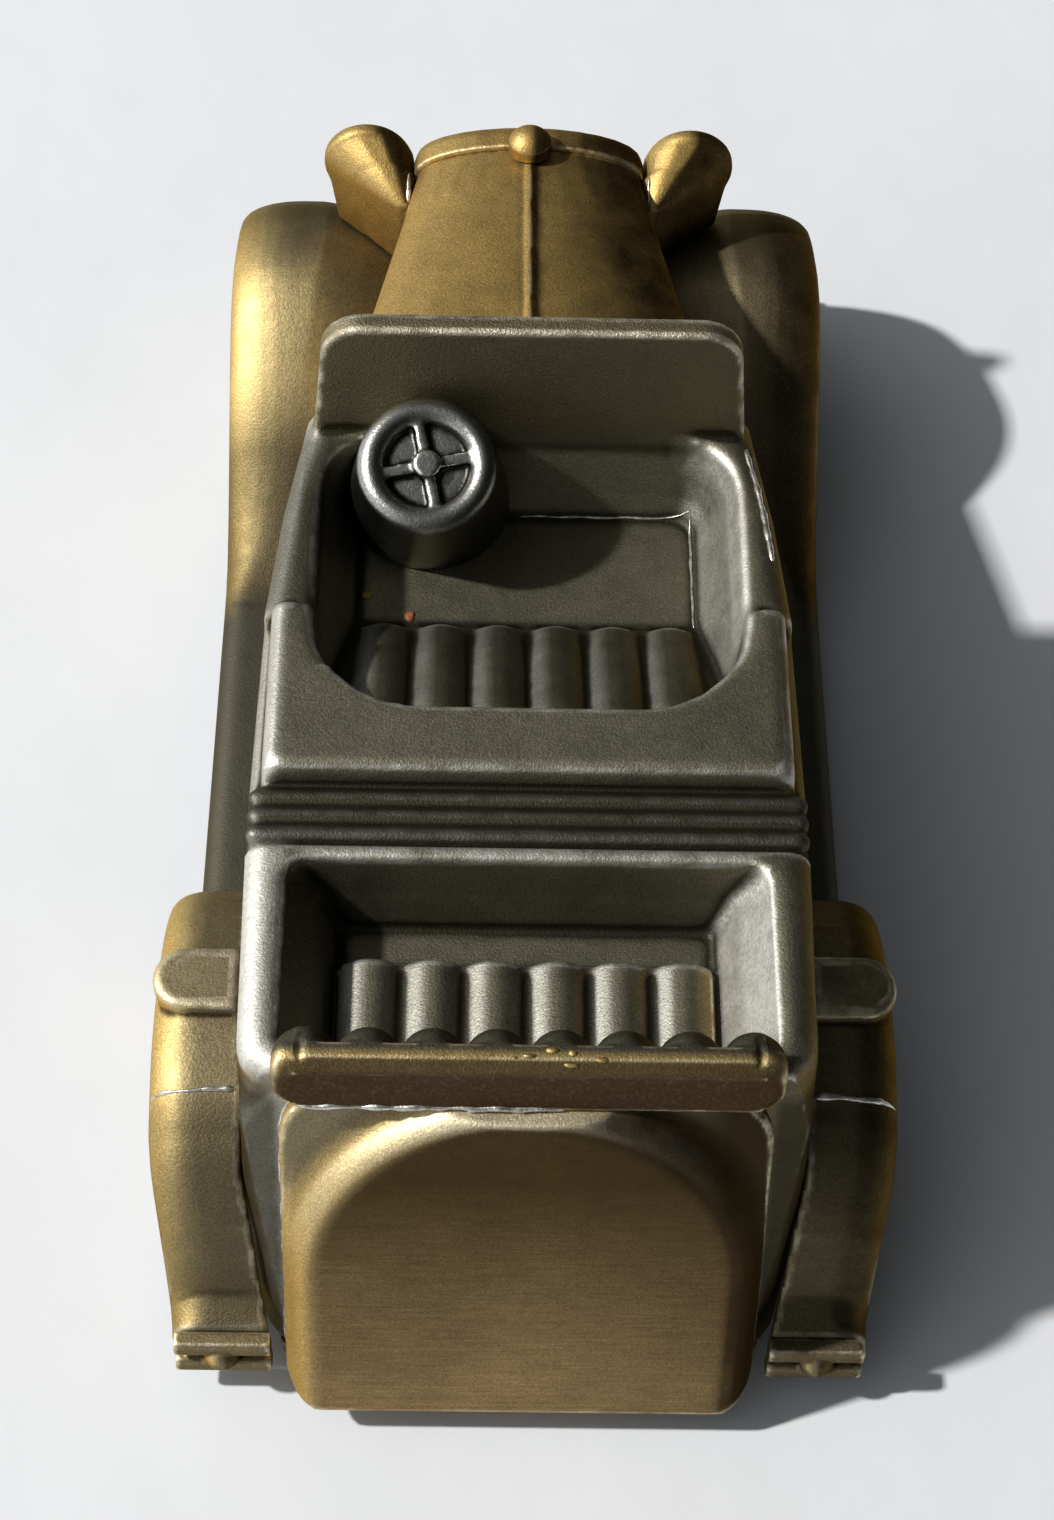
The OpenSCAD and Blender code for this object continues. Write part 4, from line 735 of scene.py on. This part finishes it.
def lampSolder():  # the lamps stand in the valley between bonnet and fender
    beads = []
    for side, word in ((-1, "left"), (1, "right")):
        lamp, fender = word + "Lamp", word + "Fender"
        low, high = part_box(word + "_headlamp")
        foot = []
        for y in between(low[1] / mm + 0.6, high[1] / mm - 2.4, 0.7):
            skin = castRay([lamp], (side * 60, y, low[2] / mm + lampSeam["low"]), (-side, 0, 0))
            if skin:
                top = castRay([fender], (skin.x + side * 0.3, y, 60), (0, 0, -1))
                if top:
                    foot.append(Vector((skin.x + side * 0.1, y, max(top.z, low[2] / mm) + 0.1)))
        beads.append(solderLine("bead", foot, lampSeam["radius"]))
        inner = []
        for y in between(low[1] / mm + 0.4, high[1] / mm - 2.6, 0.7):
            skin = castRay(["bonnetCasting"], (side * 60, y, high[2] / mm - lampSeam["high"]), (-side, 0, 0))
            top = castRay([lamp, fender], (side * lampSeam["across"], y, 60), (0, 0, -1))
            if skin and top:
                inner.append(Vector((side * lampSeam["across"], y, top.z)))
        beads.append(solderLine("bead", inner, lampSeam["radius"] * 0.8))
    joined("lampSolder", beads)


lampSolder()

coverSeam = {"radius": 0.34, "out": 0.35, "from": 5, "to": 42, "tail": (-63.8, 43),  # the tail's top edge
             "foot": (-21.5, 3.5), "footRadius": 0.30}


def coverSolder():  # flash round the left edge of the cover and along the foot of the seat back
    lean = math.radians(coverFace["lean"])
    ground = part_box("rumble_seat_back")[0][2] / mm
    topY, topZ = coverSeam["tail"]
    edge = []
    for z in between(coverSeam["from"], coverSeam["to"], 1.3):
        y = topY - (topZ - z) * math.tan(lean) - coverSeam["out"]
        place = castRay(["spareCover"], (-50, y, z), (1, 0, 0))
        if place:
            edge.append(place + Vector((0.05, 0.1, 0)))
    foot = []
    for x in between(*coverSeam["foot"], 0.9):
        height = ground + 0.35 + 0.12 * math.sin(x * 1.7)
        foot.append(castRay(["seatBack", "spareCover"], (x, -110, height), (0, 1, 0)))
    joined("coverSolder", [solderLine("bead", edge, coverSeam["radius"], 0.55),
                           solderLine("bead", foot, coverSeam["footRadius"], 0.6)])


coverSolder()

doorSeam = {"from": 15, "to": -1, "height": 42.5, "in": 0.25, "radius": 0.36}  # along the car, in mm


def doorSolder():  # ragged solder from the screen's foot back along the top of the right door
    edge = []
    for y in between(doorSeam["from"], doorSeam["to"], 1.0):
        wall = castRay(["bodyCasting"], (60, y, doorSeam["height"]), (-1, 0, 0))
        top = wall and castRay(["bodyCasting"], (wall.x - doorSeam["in"], y, 60), (0, 0, -1))
        if top:
            edge.append(top)
    joined("doorSolder", [solderLine("bead", edge, doorSeam["radius"], 0.6)])


doorSolder()

floorSeam = {"front": 13.0, "right": 17.9, "back": -2.5, "left": -1.0, "radius": 0.17}


def floorSolder():  # a bright ragged edge round the front and right of the tub's floor
    front = [castRay(["bodyCasting"], (x, floorSeam["front"] + 0.05 * math.sin(x * 1.3), 60), (0, 0, -1))
             for x in between(floorSeam["left"], floorSeam["right"], 1.1)]
    right = [castRay(["bodyCasting"], (floorSeam["right"] + 0.05 * math.sin(y * 1.7), y, 60), (0, 0, -1))
             for y in between(floorSeam["front"], floorSeam["back"], 1.1)]
    joined("floorSolder", [solderLine("bead", front, floorSeam["radius"], 0.7),
                           solderLine("bead", right, floorSeam["radius"], 0.7)])


floorSolder()
print("lamps, cover, door and floor soldered")

burrs = {"count": 6, "from": -2.5, "to": 7, "size": (0.22, 0.42)}


def bandBurrs():  # small burrs left on the band of the seat back
    low, high = (Vector(v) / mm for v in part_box("rumble_seat_back"))
    made = []
    for i in range(burrs["count"]):
        x = rng.uniform(burrs["from"], burrs["to"])
        place = castRay(["seatBack"], (x, low.y + rng.uniform(1.0, 2.6), 70), (0, 0, -1))
        deselectAll()
        size = rng.uniform(*burrs["size"])
        bpy.ops.mesh.primitive_ico_sphere_add(subdivisions=2, radius=size * mm, location=place * mm)
        burr = bpy.context.active_object
        bpy.ops.object.mode_set(mode="EDIT")
        bpy.ops.transform.resize(value=(rng.uniform(1.0, 1.9), rng.uniform(0.6, 1.1), 0.4),
                                 center_override=place * mm)
        bpy.ops.object.mode_set(mode="OBJECT")
        bpy.ops.object.transform_apply(location=True, rotation=True, scale=True)
        applied(burr, "DISPLACE", texture=ragged, strength=size * 0.7 * mm, mid_level=0.5)
        bpy.ops.object.shade_smooth()
        burr.data.materials.append(materials["seatBronze"])
        made.append(burr)
    joined("bandBurrs", made)


bandBurrs()

specks = {"redSpeck": ((-12.6, -1.3), (0.55, 0.7, 0.35), (0.34, 0.10, 0.04)),
          "yellowSpeck": ((-17.3, 1.5), (0.5, 0.45, 0.2), (0.36, 0.27, 0.03))}


def floorSpecks():  # two crumbs of old paint on the tub's floor
    for name, (where, size, colour) in specks.items():
        place = castRay(["bodyCasting"], (*where, 60), (0, 0, -1))
        deselectAll()
        bpy.ops.mesh.primitive_ico_sphere_add(subdivisions=3, radius=mm, location=place * mm)
        crumb = bpy.context.active_object
        crumb.name = name
        bpy.ops.object.mode_set(mode="EDIT")
        bpy.ops.transform.resize(value=size, center_override=place * mm)
        bpy.ops.object.mode_set(mode="OBJECT")
        bpy.ops.object.transform_apply(location=True, rotation=True, scale=True)
        applied(crumb, "DISPLACE", texture=ragged, strength=0.35 * mm, mid_level=0.5)
        bpy.ops.object.shade_smooth()
        m = Finish(name)
        m.into("Base Color", m.mix(m.ramp(m.noise(0.4, 3), 0.35, 0.65), shade(colour, 0.6), colour))
        m.into("Roughness", m.ramp(m.noise(0.6, 3), 0.3, 0.7, 0.45, 0.7))
        m.into("Normal", m.bump(m.noise(0.25, 3), 0.05, 0.7))
        crumb.data.materials.append(m.material)
        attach(crumb, "castings")


floorSpecks()
print("burrs and specks made")

studio = {"paper": (0.74, 0.77, 0.82), "paperSize": 4, "left": 0.68, "right": 0.02, "tint": (0.97, 0.99, 1.0),
          "keyPlace": (-3.22, -0.32, 3.29), "keySize": 0.20, "keyPower": 245, "keyTint": (1.0, 0.97, 0.92)}


def makeStudio():
    deselectAll()
    bpy.ops.mesh.primitive_plane_add(size=studio["paperSize"], location=(0, 0, 0))
    floor = bpy.context.active_object
    floor.name = "paper"
    m = Finish("paper")
    cloudy = m.ramp(m.noise(60, 3), 0.3, 0.7)
    m.into("Base Color", m.mix(cloudy, studio["paper"], shade(studio["paper"], 1.05)))
    m.into("Normal", m.bump(m.noise(45, 3), 1.2, 0.5, m.bump(m.noise(0.7, 3), 0.03, 0.5)))
    m.shader.inputs["Roughness"].default_value = 0.8
    floor.data.materials.append(m.material)
    lamp = bpy.data.lights.new("key", "AREA")
    lamp.size, lamp.energy = studio["keySize"], studio["keyPower"]
    lamp.color = studio["keyTint"]
    key = bpy.data.objects.new("key", lamp)
    bpy.context.scene.collection.objects.link(key)
    key.location = studio["keyPlace"]
    key.rotation_euler = (-Vector(studio["keyPlace"])).to_track_quat("-Z", "Y").to_euler()
    world = bpy.data.worlds.new("studio")
    bpy.context.scene.world = world
    world.use_nodes = True
    nodes, links = world.node_tree.nodes, world.node_tree.links
    background = nodes["Background"]
    background.inputs["Color"].default_value = (*studio["tint"], 1)
    split = nodes.new("ShaderNodeSeparateXYZ")
    links.new(nodes.new("ShaderNodeTexCoord").outputs["Generated"], split.inputs[0])
    level = nodes.new("ShaderNodeMapRange")  # a wide window on the left, a dim room on the right
    level.interpolation_type = "SMOOTHSTEP"
    fade = {"From Min": -0.95, "From Max": 0.35, "To Min": studio["left"], "To Max": studio["right"]}
    for key, value in fade.items():
        level.inputs[key].default_value = value
    links.new(split.outputs[0], level.inputs["Value"])
    links.new(level.outputs["Result"], background.inputs["Strength"])


makeStudio()
bpy.context.scene.view_settings.view_transform = "Standard"
